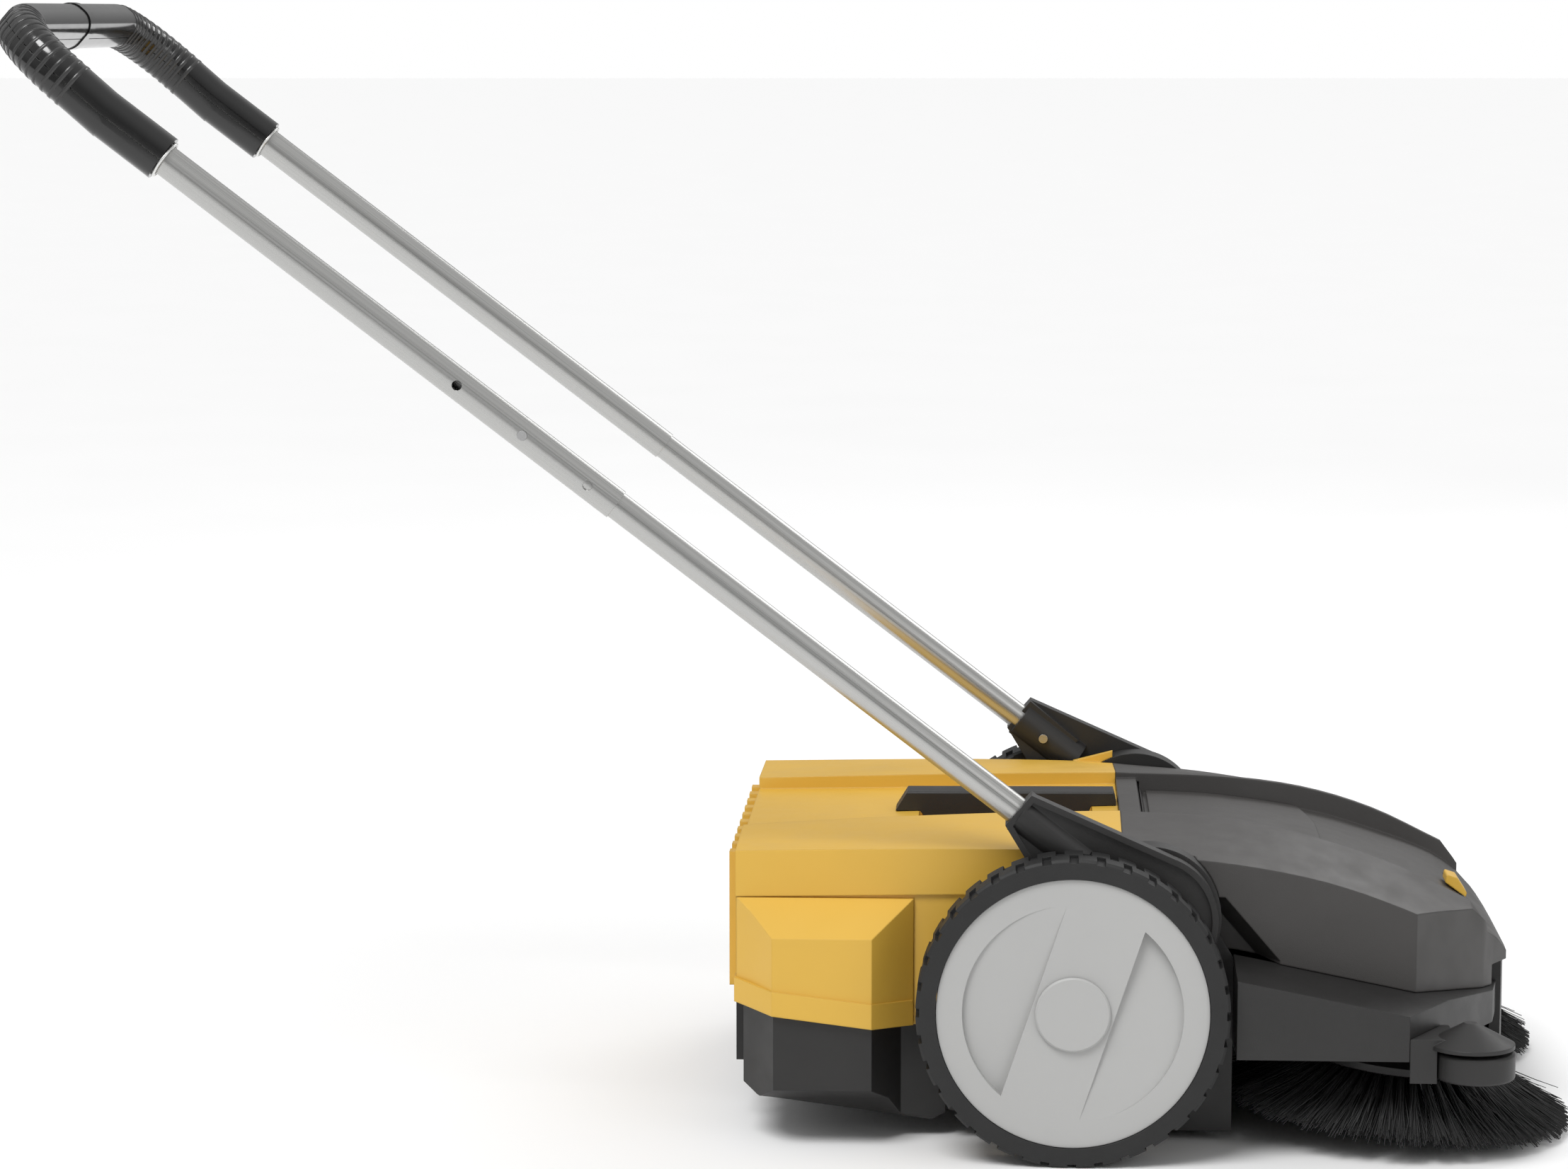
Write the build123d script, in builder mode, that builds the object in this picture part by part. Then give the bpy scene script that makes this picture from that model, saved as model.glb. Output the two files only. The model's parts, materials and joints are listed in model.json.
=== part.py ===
"""Manual push sweeper with two disc brushes, a fine-dust roller and a folding, telescopic U handle.

Millimetres. +X is forward, +Y is the machine's left, +Z is up. The origin is on the floor, at the middle
of the machine's whole footprint. All places below are measured from the wheel axle, and axle_x moves
them into the machine's frame, so the planes side(), level() and across() all start at the axle.
"""
from build123d import *
import math
import os

# ---------------------------------------------------------------- driving dimensions
running_gap = 0.05        # radial clearance of a shaft in its bore
part_gap = 0.4            # clearance between parts that move past each other
seam_gap = 0.3            # gap between two covers that meet

wheel_radius = 122.5
wheel_width = 42.0
wheel_outer_y = 295.0     # outer face of each wheel, from the middle of the machine
disc_radius = 106.5       # grey wheel disc inside the tyre
cap_radius = 29.5
axle_radius = 8.0
tread_blocks = 36

body_half_width = 212.0   # side faces of the hood and the hopper
wall = 3.0
cheek_y = 207.0           # outer face of the chassis side plates between the wheels
cheek_wall = 4.0
tray_half_width = 277.0   # side faces of the chassis tray over the disc brushes
tray_floor = 84.0         # underside of the tray
bumper_half_width = 90.0
bumper_x = 360.0
seam_x = 40.0             # joint between the hopper and the hood
ridge_width = 7.0         # raised edges along the hopper and the hood

hopper_rear_x = -268.0
hopper_front_x = -100.0   # front wall of the dirt tub
bulge_half_width = 248.0  # the tub is wider behind the wheels
split_z = 102.0           # joint between the hopper's lid and its tub
rib_pitch = 33.0
rib_count = 10

pivot_x = 60.0            # handle hinge
pivot_z = 187.0
drum_radius = 57.0
drum_outer_y = 232.0
arm_outer_y = 250.0
pivot_bolt_radius = 6.0
handle_angle = 37.35      # the tubes' rise above the floor
leg_y = 235.0
tube_offset = 4.4         # the tubes' axis above the hinge axis
tube_radius = 12.5
inner_tube_radius = 11.3
tube_wall = 1.2
mouth_s = 132.0           # places along the tubes, from the hinge
inner_start_s = 77.0
inner_end_s = 640.0
outer_start_s = 531.0
latch_s = 622.0
hole_pitch = 64.0
grip_start_s = 975.0
kink_s = 1035.0
kink_angle = 4.0          # the grip rises a little more steeply than the tubes
kink_length = 98.7
kink_bend = 300.0
bar_bend = 62.0
grip_height = 18.6        # half sizes of the grip's section, and its corner radius
grip_depth = 15.8
grip_round = 14.0
band_wall = 1.0
button_radius = 3.95
arm_latch_s = 106.0

brush_x = 262.0           # disc brush: middle of the tips' circle
brush_y = 140.0
brush_radius = 138.5
brush_tilt = 5.1          # the discs lean forwards
brush_plate_radius = 80.0
bristle_edge = 6.0        # thickness of the bristles' outer edge
spindle_radius = 6.0
shaft_radius = 5.0

gear_module = 2.0
ring_teeth = 84
pinion_teeth = 12
crown_teeth = 24
miter_teeth = 16
roller_steps = 17         # ring teeth between the brush pinion and the roller pinion
gear_width = 11.0
backlash = 0.5

guide_x = 314.0           # guide roller at each front corner
guide_y = 263.0
guide_radius = 31.5
guide_height = 22.0
guide_z = 69.0

# ---------------------------------------------------------------- worked out from them
axle_z = wheel_radius
wheel_inner_y = wheel_outer_y - wheel_width
tilt = math.radians(brush_tilt)
rise = math.radians(handle_angle)
steep = math.radians(handle_angle + kink_angle)
bar_x = pivot_x + tube_offset * math.sin(rise) - kink_s * math.cos(rise) - kink_length * math.cos(steep)
grip_reach = (grip_round + (grip_depth - grip_round) * math.cos(steep)
              + (grip_height - grip_round) * math.sin(steep) + band_wall)
rear_reach = grip_reach - bar_x
front_reach = brush_x + brush_radius * math.cos(tilt) + bristle_edge * math.sin(tilt)
axle_x = (rear_reach - front_reach) / 2
pinion_r = pinion_teeth * gear_module / 2
ring_r = ring_teeth * gear_module / 2
crown_r = crown_teeth * gear_module / 2
miter_r = miter_teeth * gear_module / 2
mesh_distance = ring_r - pinion_r
roller_angle = -math.radians(roller_steps * 360.0 / ring_teeth)
roller_x = mesh_distance * math.cos(roller_angle)
roller_z = axle_z + mesh_distance * math.sin(roller_angle)
tip_z = brush_radius * math.sin(tilt)
# the drive shaft leans with the brush, and meets the brush spindle's axis at this height along it
apex_h = (axle_z - tip_z - (brush_x - mesh_distance) * math.tan(tilt)) * math.cos(tilt)


def side(y):
    """Plane seen from the machine's right: x forward, y up, facing away from the left."""
    return Plane(origin=(axle_x, y, 0), x_dir=(1, 0, 0), z_dir=(0, -1, 0))


def shaft_end(x, y, z):
    """Plane across a shaft that runs across the machine, facing away from the left."""
    return Plane(origin=(axle_x + x, y, z), x_dir=(1, 0, 0), z_dir=(0, -1, 0))


def level(z):
    """Horizontal plane at a height above the floor."""
    return Plane(origin=(axle_x, 0, z), x_dir=(1, 0, 0), z_dir=(0, 0, 1))


def across(x):
    """Plane across the machine: x to the left, y up, facing forwards."""
    return Plane(origin=(axle_x + x, 0, 0), x_dir=(0, 1, 0), z_dir=(1, 0, 0))


def on_tube(s):
    """Plane across the right-hand handle tube, at a distance from the hinge."""
    x = pivot_x + tube_offset * math.sin(rise) - s * math.cos(rise)
    z = pivot_z + tube_offset * math.cos(rise) + s * math.sin(rise)
    return Plane(origin=(axle_x + x, -leg_y, z), x_dir=(0, 1, 0), z_dir=(-math.cos(rise), 0, math.sin(rise)))


def on_brush(h):
    """Plane across the right-hand brush's spindle, at a height above the circle of its tips."""
    x = brush_x + h * math.sin(tilt)
    z = tip_z + h * math.cos(tilt)
    return Plane(origin=(axle_x + x, -brush_y, z), x_dir=(math.cos(tilt), 0, -math.sin(tilt)),
                 z_dir=(math.sin(tilt), 0, math.cos(tilt)))


def keep(piece, name):
    """Label a finished piece and write its file."""
    piece.part.label = name
    export_step(piece.part, f"parts/{name}.step")


def gear_outline(plane, teeth, tip_r, root_r, tooth, turn=0.0):
    """Involute outline: tooth is its thickness on the pitch circle, turn the first tooth's direction."""
    pitch_r = teeth * gear_module / 2
    base_r = pitch_r * math.cos(math.radians(20))
    start = tooth / (2 * pitch_r) + math.tan(math.radians(20)) - math.radians(20)

    def half_angle(r):
        pressure = math.acos(base_r / max(r, base_r))
        return start - math.tan(pressure) + pressure

    low = max(root_r, base_r)
    radii = [root_r] + [low + (tip_r - low) * i / 3 for i in range(4) if low > root_r or i > 0]
    points = []
    for k in range(teeth):
        middle = turn + 2 * math.pi * k / teeth
        for sign, row in ((-1, radii), (1, radii[::-1])):
            for r in row:
                a = middle + sign * half_angle(r)
                points.append((r * math.cos(a), r * math.sin(a)))
    with BuildSketch(plane) as outline:
        with BuildLine():
            Polyline(*points, close=True)
        make_face()
    return outline.sketch


def bevel_outline(apex, distance, along, teeth, pitch_r, half_step):
    """Section of a bevel gear's teeth, on a plane across its axis at a distance from the cones' apex."""
    cone = math.atan2(pitch_r, distance)
    reach = along / distance
    depth = 0.7 * gear_module / math.cos(cone)
    root = 1.1 * gear_module / math.cos(cone)
    slant = math.tan(math.radians(20)) * math.cos(cone)
    half = math.pi * gear_module / 4 - backlash / 2
    corners = [(pitch_r - root, half + root * slant), (pitch_r + depth, half - depth * slant)]
    points = []
    for k in range(teeth):
        middle = 2 * math.pi * (k + half_step) / teeth
        for sign, row in ((-1, corners), (1, corners[::-1])):
            for r, t in row:
                a = middle + sign * t / r
                points.append((reach * r * math.cos(a), reach * r * math.sin(a)))
    with BuildSketch(apex.offset(along)) as outline:
        with BuildLine():
            Polyline(*points, close=True)
        make_face()
    return outline.sketch


def tidy_mirror(name):
    """Inside a block: turn the right-hand piece into the left-hand one."""
    if name == "left":
        mirror(about=Plane.XZ, mode=Mode.REPLACE)


os.makedirs("parts", exist_ok=True)

# ---------------------------------------------------------------- outlines that several pieces share
tray_top = [(128, 153), (166, 145.6), (276, 123.6), (342, 110)]   # under the hood's lower edge



def half_plan(points):
    """Closed outline across the machine from the points of its left half."""
    return points + [(x, -y) for x, y in reversed(points)]


def fill(points):
    """Inside a sketch block: the face bounded by straight lines through the points."""
    Polygon(*points, align=None)


# ---------------------------------------------------------------- chassis
tray_plan = [(128, tray_half_width), (262, tray_half_width), (341, 134), (348, bumper_half_width)]
tray_inner = [(128 + wall, tray_half_width - wall), (260, tray_half_width - wall), (337, 132), (344, 86)]

with BuildPart() as chassis:
    # tray over the disc brushes: flat middle, rims that fall outwards
    with BuildSketch(side(-body_half_width)):
        fill([(128, tray_floor), *tray_top, (352, 108), (352, tray_floor)])
    extrude(amount=-2 * body_half_width)
    for sign in (-1, 1):
        with BuildSketch(side(sign * body_half_width)):
            fill([(128, tray_floor - 10), *tray_top, (352, 108), (352, tray_floor - 10)])
        extrude(amount=tray_half_width - body_half_width + 5, dir=(0, sign, -0.1))
    with BuildSketch(level(tray_floor)):
        fill(half_plan(tray_plan))
    extrude(amount=90, mode=Mode.INTERSECT)
    # hollow above the floor, open towards the hood
    with BuildSketch(level(tray_floor + wall)):
        fill(half_plan([(90, cheek_y - 1), (258, cheek_y - 1), (330, 130), (344, 86)]))
    extrude(amount=90, mode=Mode.SUBTRACT)
    with BuildSketch(level(tray_floor + wall)):
        fill(half_plan(tray_inner))
    inner_plan = extrude(amount=90, mode=Mode.PRIVATE)
    for sign in (-1, 1):
        with BuildSketch(side(sign * (cheek_y - 2))):
            fill([(128, tray_floor), *[(x, z - wall) for x, z in tray_top[1:]], (352, tray_floor)])
        rim_room = extrude(amount=tray_half_width - cheek_y + 2, dir=(0, sign, -0.1), mode=Mode.PRIVATE)
        add(rim_room & inner_plan, mode=Mode.SUBTRACT)
    # side plates between the wheels, with bosses for the axle and the gear shafts
    for sign in (-1, 1):
        with BuildSketch(side(sign * cheek_y)):
            fill([(-98, 24), (-98, 150), (28, 150), (42, 205), (95, 205), (128, 150), (128, 9), (60, 9),
                  (20, 12), (-40, 12)])
        extrude(amount=sign * cheek_wall)
        with BuildSketch(side(sign * cheek_y)):
            with Locations((0, axle_z)):
                Circle(14)
        extrude(amount=-sign * (wheel_inner_y - cheek_y - 1.5))
        with BuildSketch(side(sign * cheek_y)):
            with Locations((mesh_distance, axle_z)):
                Circle(8)
        extrude(amount=-sign * 14)
    # bridge over the roller, and the ramp that leads the dirt into the hopper
    with BuildSketch(side(-cheek_y + 1)):
        fill([(-98, 147), (-98, 150), (45, 150), (45, 147)])
        fill([(-98, 24), (-98, 27), (-38, 11), (-38, 8)])
    extrude(amount=-2 * (cheek_y - 1))
    # front bumper
    with BuildSketch(level(46)):
        with BuildLine():
            nose = ThreePointArc((352, bumper_half_width), (bumper_x, 0), (352, -bumper_half_width))
            Polyline(nose @ 1, (343, -bumper_half_width), (343, bumper_half_width), nose @ 0)
        make_face()
    extrude(amount=126 - 46)
    # bores
    with BuildSketch(side(wheel_inner_y)):
        with Locations((0, axle_z)):
            Circle(axle_radius + running_gap)
        with Locations((mesh_distance, axle_z)):
            Circle(shaft_radius + running_gap)
        with Locations((roller_x, roller_z)):
            Circle(shaft_radius + running_gap)
    extrude(amount=2 * wheel_inner_y, mode=Mode.SUBTRACT)
    with BuildSketch(side(cheek_y + 1)):
        with Locations((pivot_x, pivot_z)):
            Circle(pivot_bolt_radius + running_gap)
    extrude(amount=2 * cheek_y + 2, mode=Mode.SUBTRACT)
    for sign in (-1, 1):
        with BuildSketch(level(tray_floor - 1)):
            with Locations((brush_x + tray_floor * math.tan(tilt), sign * brush_y)):
                Circle(spindle_radius + 8)
        extrude(amount=wall + 2, mode=Mode.SUBTRACT)
keep(chassis, "chassis")

def smoothed(rows, step):
    """Rows of values at small steps of the first one, on a smooth curve through the given rows."""
    slopes = []
    for i in range(len(rows)):
        a, b = rows[max(i - 1, 0)], rows[min(i + 1, len(rows) - 1)]
        slopes.append([(q - p) / (b[0] - a[0]) for p, q in zip(a, b)])
    out = []
    for i in range(len(rows) - 1):
        a, b = rows[i], rows[i + 1]
        width = b[0] - a[0]
        count = max(1, round(width / step))
        for k in range(count):
            t = k / count
            h = (2 * t ** 3 - 3 * t ** 2 + 1, t ** 3 - 2 * t ** 2 + t,
                 3 * t ** 2 - 2 * t ** 3, t ** 3 - t ** 2)
            row = [h[0] * p + h[1] * width * u + h[2] * q + h[3] * width * v
                   for p, u, q, v in zip(a, slopes[i], b, slopes[i + 1])]
            out.append((a[0] + width * t, *row[1:]))
    return out + [tuple(rows[-1])]


# ---------------------------------------------------------------- hood over the front
hood_sections = (smoothed([(seam_x, 247, 98, 235), (129, 243, 105, 226.5), (200, 231, 125, 213),
                           (262, 211.5, 134, 192), (322, 183, 134, 165)], 16)
                 + [(334, 167, 134, 155), (372, 110, 134, 100)])
hood_plan = [(seam_x, body_half_width), (272, body_half_width), (333, 134), (343, 112),
             (356, bumper_half_width),
             (359.5, 35)]


def hood_form(inset):
    """The hood's outer shape, or what its walls enclose when it is inset by their thickness."""
    open_below = 20 if inset else 0
    edge = body_half_width - inset
    with BuildPart() as form:
        for x, ridge_z, ridge_at, crease_z in hood_sections:
            with BuildSketch(across(x + (inset if x == seam_x else 0))):
                fill([(edge, 60), (edge, crease_z - inset), (ridge_at, ridge_z - inset),
                      (-ridge_at, ridge_z - inset), (-edge, crease_z - inset), (-edge, 60)])
        loft(ruled=True)
        with BuildSketch(level(60)):
            fill(half_plan([(x - (inset if x > seam_x else 0), y) for x, y in hood_plan]))
        extrude(amount=200, mode=Mode.INTERSECT)
        # lower edge, following the tray and passing over the bumper
        with BuildSketch(side(-body_half_width)):
            fill([(0, 153.6 - open_below), *[(x, z + 0.6 - open_below) for x, z in tray_top[:3]],
                  (342, 110.6 - open_below), (342, 127 - open_below), (370, 127 - open_below),
                  (370, 300), (0, 300)])
        extrude(amount=-2 * body_half_width, mode=Mode.INTERSECT)
        # sunken middle between the ridges
        with BuildSketch(side(-150)):
            fill([(x + (inset if x < 60 else -inset), z - inset) for x, z in hood_floor]
                 + [(380, 98), (380, 300), (seam_x, 300)])
        trough = extrude(amount=-300, mode=Mode.PRIVATE)
        with BuildSketch(level(90)):
            edge_line = [(x, ridge_at) for x, _, ridge_at, _ in hood_sections[:-1]] + [(380, 134)]
            fill(half_plan([(x, y - (0 if inset else ridge_width)) for x, y in edge_line]))
        trough_plan = extrude(amount=200, mode=Mode.PRIVATE)
        add(trough & trough_plan, mode=Mode.SUBTRACT)
        # rear lower corners step inwards beside the wheels
        for sign in (-1, 1):
            with BuildSketch(side(sign * (188 - inset))):
                fill([(20, 100), (20, 200 + inset), (104 + inset, 200 + inset), (148 + inset, 149),
                      (148 + inset, 100)])
            extrude(amount=30 + inset, dir=(0.7, sign, 0), mode=Mode.SUBTRACT)
    return form.part


hood_floor = ([(seam_x, 242), (57, 242), (63, 229)]
              + smoothed([(80, 228.5), (129, 225), (208, 210), (262, 193.5), (312, 174.5),
                          (334, 159), (346, 148),
                          (354, 138), (362, 124)], 12))
lid_front = [(196, 112), (210, 0), (196, -112)]

with BuildPart() as hood:
    add(hood_form(0))
    add(hood_form(wall), mode=Mode.SUBTRACT)
    for sign in (-1, 1):
        with BuildSketch(side(sign * (cheek_y - 4))):
            with Locations((pivot_x, pivot_z)):
                Circle(drum_radius + seam_gap)
        extrude(amount=-sign * 30, mode=Mode.SUBTRACT)
    # slot of the height slider
    with BuildSketch(level(140)):
        with Locations((319, 12)):
            Rectangle(7, 58)
    extrude(amount=60, mode=Mode.SUBTRACT)
keep(hood, "hood")

with BuildPart() as hood_lid:
    with BuildSketch(level(180)):
        with BuildLine():
            front = ThreePointArc(*lid_front)
            Polyline(front @ 1, (129, -96), (66, -90), (66, 90), (129, 96), front @ 0)
        make_face()
    extrude(amount=80)
    with BuildSketch(side(-150)):
        top = [(x, z + 2.8) for x, z in hood_floor if 60 < x < 215]
        fill(top + [(x, z - 2.5) for x, z in top[::-1]])
    extrude(amount=-300, mode=Mode.INTERSECT)
keep(hood_lid, "hood_lid")

with BuildPart() as height_slider:
    with BuildSketch(side(0)):
        fill([(312, 176.9), (313, 183.5), (322, 180.5), (330, 168), (329, 164.6)])
    extrude(amount=25)
    with BuildSketch(side(-2)):
        fill([(316, 156), (316, 178), (322, 174), (322, 156)])
    extrude(amount=14)
    fillet(height_slider.edges().filter_by(Axis.Y).group_by(Axis.Z)[-1], 1.5)
keep(height_slider, "height_slider")

with BuildPart() as roller_cover:
    with BuildSketch(side(-cheek_y + cheek_wall + seam_gap)):
        with Locations((roller_x, roller_z)):
            Circle(59)
            Circle(56.5, mode=Mode.SUBTRACT)
            with Locations((-40, -30)):
                Rectangle(70, 90, mode=Mode.SUBTRACT)
            with Locations((0, -60)):
                Rectangle(130, 90, mode=Mode.SUBTRACT)
    extrude(amount=-2 * (cheek_y - cheek_wall - seam_gap))
keep(roller_cover, "roller_cover")

with BuildPart() as axle:
    with BuildSketch(side(wheel_outer_y - 6)):
        with Locations((0, axle_z)):
            Circle(axle_radius)
    extrude(amount=2 * (wheel_outer_y - 6))
    chamfer(axle.edges().group_by(Axis.Y)[0] + axle.edges().group_by(Axis.Y)[-1], 1)
keep(axle, "axle")

with BuildPart() as axle_caps:
    for sign in (-1, 1):
        with BuildSketch(side(sign * (wheel_outer_y - 11.4))):
            with Locations((0, axle_z)):
                Circle(13)
                Circle(axle_radius, mode=Mode.SUBTRACT)
        extrude(amount=-sign * 2.5)
keep(axle_caps, "axle_caps")

with BuildPart() as pivot_bolts:
    for sign in (-1, 1):
        with BuildSketch(side(sign * (cheek_y - 14))):
            with Locations((pivot_x, pivot_z)):
                Circle(pivot_bolt_radius)
        extrude(amount=-sign * (arm_outer_y - 4 - cheek_y + 14))
        with BuildSketch(side(sign * (arm_outer_y - 4))):
            with Locations((pivot_x, pivot_z)):
                Circle(11)
        extrude(amount=-sign * 3)
keep(pivot_bolts, "pivot_bolts")

with BuildPart() as pivot_nuts:
    for sign in (-1, 1):
        with BuildSketch(side(sign * (cheek_y - cheek_wall))):
            with Locations((pivot_x, pivot_z)):
                RegularPolygon(10, 6)
                Circle(pivot_bolt_radius, mode=Mode.SUBTRACT)
        extrude(amount=sign * 7)
keep(pivot_nuts, "pivot_nuts")

for name in ("right", "left"):
    with BuildPart() as handle_drum:
        with BuildSketch(side(-cheek_y)):
            with Locations((pivot_x, pivot_z)):
                Circle(drum_radius)
        extrude(amount=drum_outer_y - cheek_y)
        with BuildSketch(side(-cheek_y - 3)):
            with Locations((pivot_x, pivot_z)):
                Circle(drum_radius - 5)
                Circle(14, mode=Mode.SUBTRACT)
        extrude(amount=drum_outer_y - cheek_y, mode=Mode.SUBTRACT)
        with BuildSketch(side(-cheek_y)):
            with Locations((pivot_x, pivot_z)):
                Circle(pivot_bolt_radius + running_gap)
        extrude(amount=drum_outer_y - cheek_y, mode=Mode.SUBTRACT)
        tidy_mirror(name)
    keep(handle_drum, name + "_handle_drum")

# ---------------------------------------------------------------- hopper
hopper_sections = [(hopper_rear_x, 236, 121, 234), (-164, 241, 108, 236), (-53, 245, 101, 237),
                   (seam_x - seam_gap, 247, 98, 235)]
split_slope = 0.125
split_points = [(x, split_z - split_slope * (x + 190)) for x in (-290, hopper_front_x)]
lid_plan = [(-267, body_half_width), (-254, 226), (-237, bulge_half_width), (-158, bulge_half_width),
            (-126, body_half_width)]
tub_plan = [(-262, 206), (-250, 222), (-236, 245), (-158, 245), (-136, 206), (hopper_front_x, 200)]
tub_floor = [(-264, 46), (-250, 38), (-112, 14), (hopper_front_x, 20)]


def lid_form(inset):
    """The hopper lid's outer shape, or what its walls enclose."""
    open_below = 12 if inset else 0
    with BuildPart() as form:
        for x, ridge_z, ridge_at, crease_z in hopper_sections:
            edge = body_half_width - 2 * inset
            at = x + (inset if x == hopper_rear_x else 0) - (inset if x > 0 else 0)
            with BuildSketch(across(at)):
                fill([(edge, 70), (edge, crease_z - inset), (ridge_at, ridge_z - inset),
                      (-ridge_at, ridge_z - inset), (-edge, crease_z - inset), (-edge, 70)])
        loft()
        # the sides step in below their upper part
        for sign in (-1, 1):
            with BuildSketch(side(sign * (body_half_width - 2.6 + inset))):
                fill([(-300, 196), (-83, 200), (60, 202.5), (60, 60), (-300, 60)])
            extrude(amount=-sign * 20, mode=Mode.SUBTRACT)
        # wider part behind the wheels, with sloping top facets
        with BuildSketch(level(70)):
            fill(half_plan([(x, y - inset) for x, y in lid_plan]))
        bulge = extrude(amount=140, mode=Mode.PRIVATE)
        with BuildSketch(across(-267 + inset)):
            edge = bulge_half_width - inset
            fill([(edge, 60), (edge, 170 - inset), (body_half_width, 196 - inset),
                  (-body_half_width, 196 - inset), (-edge, 170 - inset), (-edge, 60)])
        bulge_section = extrude(amount=160, mode=Mode.PRIVATE)
        add(bulge & bulge_section)
        # band along the lower edge
        if not inset:
            with BuildSketch(level(70)):
                fill(half_plan([(x - 2 * (x < -240), y + 2) for x, y in lid_plan]))
            band = extrude(amount=140, mode=Mode.PRIVATE)
            with BuildSketch(side(-260)):
                fill([(-290, 134), (-290, 70), (-124, 70), (-124, 114)])
            add(band & extrude(amount=-520, mode=Mode.PRIVATE))
        # cut along the sloping joint with the tub, and over the bridge in front of it
        with BuildSketch(side(-260)):
            fill([(-290, split_points[0][1] - open_below),
                  (hopper_front_x - inset, split_points[1][1] - open_below),
                  (hopper_front_x - inset, 150.5), (60, 150.5), (60, 0), (-290, 0)])
        extrude(amount=-520, mode=Mode.SUBTRACT)
        # channel between the ridges
        with BuildSketch(side(-150)):
            fill([(-290, 225 - inset), (hopper_rear_x, 226 - inset), (seam_x, 237 - inset), (seam_x, 300),
                  (-290, 300)])
        channel = extrude(amount=-300, mode=Mode.PRIVATE)
        with BuildSketch(level(100)):
            fill(half_plan([(-290, 121 - ridge_width + inset), (-164, 108 - ridge_width + inset),
                            (-53, 101 - ridge_width + inset), (seam_x, 98 - ridge_width + inset)]))
        channel_plan = extrude(amount=200, mode=Mode.PRIVATE)
        add(channel & channel_plan, mode=Mode.SUBTRACT)
        # hand recess under the carry handle
        with BuildSketch(level(192 - inset)):
            with Locations((-54, 0)):
                Rectangle(144 + 2 * inset, 150 + 2 * inset)
        extrude(amount=60, mode=Mode.SUBTRACT)
    return form.part


with BuildPart() as hopper_lid:
    add(lid_form(0))
    add(lid_form(wall), mode=Mode.SUBTRACT)
    # ribs down the rear wall
    with BuildSketch(level(112)):
        with Locations((hopper_rear_x - 4, 0)):
            with GridLocations(1, rib_pitch, 1, rib_count):
                Rectangle(9, 13)
    extrude(amount=222 - 112)
    # fins that fill the corner beside each handle drum
    for sign in (-1, 1):
        with BuildSketch(side(sign * (body_half_width - wall - 2))):
            fill([(5, 233), (5, 237), (seam_x - seam_gap, 246), (seam_x - seam_gap, 233)])
        extrude(amount=-sign * (wall + 2))
        with BuildSketch(side(sign * (cheek_y - 4))):
            with Locations((pivot_x, pivot_z)):
                Circle(drum_radius + seam_gap)
        extrude(amount=-sign * 30, mode=Mode.SUBTRACT)
keep(hopper_lid, "hopper_lid")


def tub_form(inset):
    """The dirt tub's outer shape, or the room inside it with an open top and an open mouth."""
    with BuildPart() as form:
        with BuildSketch(level(0)):
            fill(half_plan([(x + (inset if x < -240 else 0), y - inset) for x, y in tub_plan]))
        extrude(amount=150)
        with BuildSketch(side(-260)):
            fill([(x, z + inset) for x, z in tub_floor]
                 + [(x, z - 0.4 + 4 * inset) for x, z in split_points[::-1]])
        extrude(amount=-520, mode=Mode.INTERSECT)
        with BuildSketch(across(-290)):
            half = [(245 - inset, 150), (245 - inset, 47 + inset), (222 - inset, 36 + inset),
                    (206 - inset, 20 + inset), (196, 10)]
            fill(half + [(-y, z) for y, z in half[::-1]])
        extrude(amount=200, mode=Mode.INTERSECT)
    return form.part


with BuildPart() as hopper_tub:
    add(tub_form(0))
    add(tub_form(2.5), mode=Mode.SUBTRACT)
    with BuildSketch(level(50)):
        with Locations((-266, 0)):
            with GridLocations(1, rib_pitch, 1, rib_count):
                Rectangle(10, 13)
    extrude(amount=110 - 50)
    with BuildSketch(across(hopper_front_x - 20)):
        with Locations((0, 60)):
            Rectangle(380, 64)
    extrude(amount=30, mode=Mode.SUBTRACT)
keep(hopper_tub, "hopper_tub")

with BuildPart() as carry_handle:
    with BuildSketch(side(15)):
        fill([(-146, 231.2), (-136, 247.4), (36, 248.6), (38, 241), (38, 237.2), (17.6, 236.5),
              (14, 228), (-118, 221), (-125.6, 231.4)])
    extrude(amount=30)
    fillet(carry_handle.edges().filter_by(Axis.X, tolerance=5).group_by(Axis.Z)[-1], 2)
keep(carry_handle, "carry_handle")

# ---------------------------------------------------------------- wheels
recess_lean = math.radians(18.4)
recess_chord = 32.0
recess_radius = 86.0
ring_y = 256.0            # inner face of the ring gear
face_y = wheel_outer_y - 2


def recess_outline(plane, grow, turn):
    """D-shaped outline on one side of the hub."""
    a = turn - recess_lean
    out = (math.cos(a), math.sin(a))
    up = (-math.sin(a), math.cos(a))
    corners = []
    for reach, slide in ((recess_chord - grow, -200), (recess_chord - grow, 200), (-300, 200), (-300, -200)):
        corners.append((reach * out[0] + slide * up[0], axle_z + reach * out[1] + slide * up[1]))
    with BuildSketch(plane) as outline:
        with Locations((0, axle_z)):
            Circle(recess_radius + grow)
        Polygon(*corners, align=None, mode=Mode.SUBTRACT)
    return outline.sketch


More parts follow.
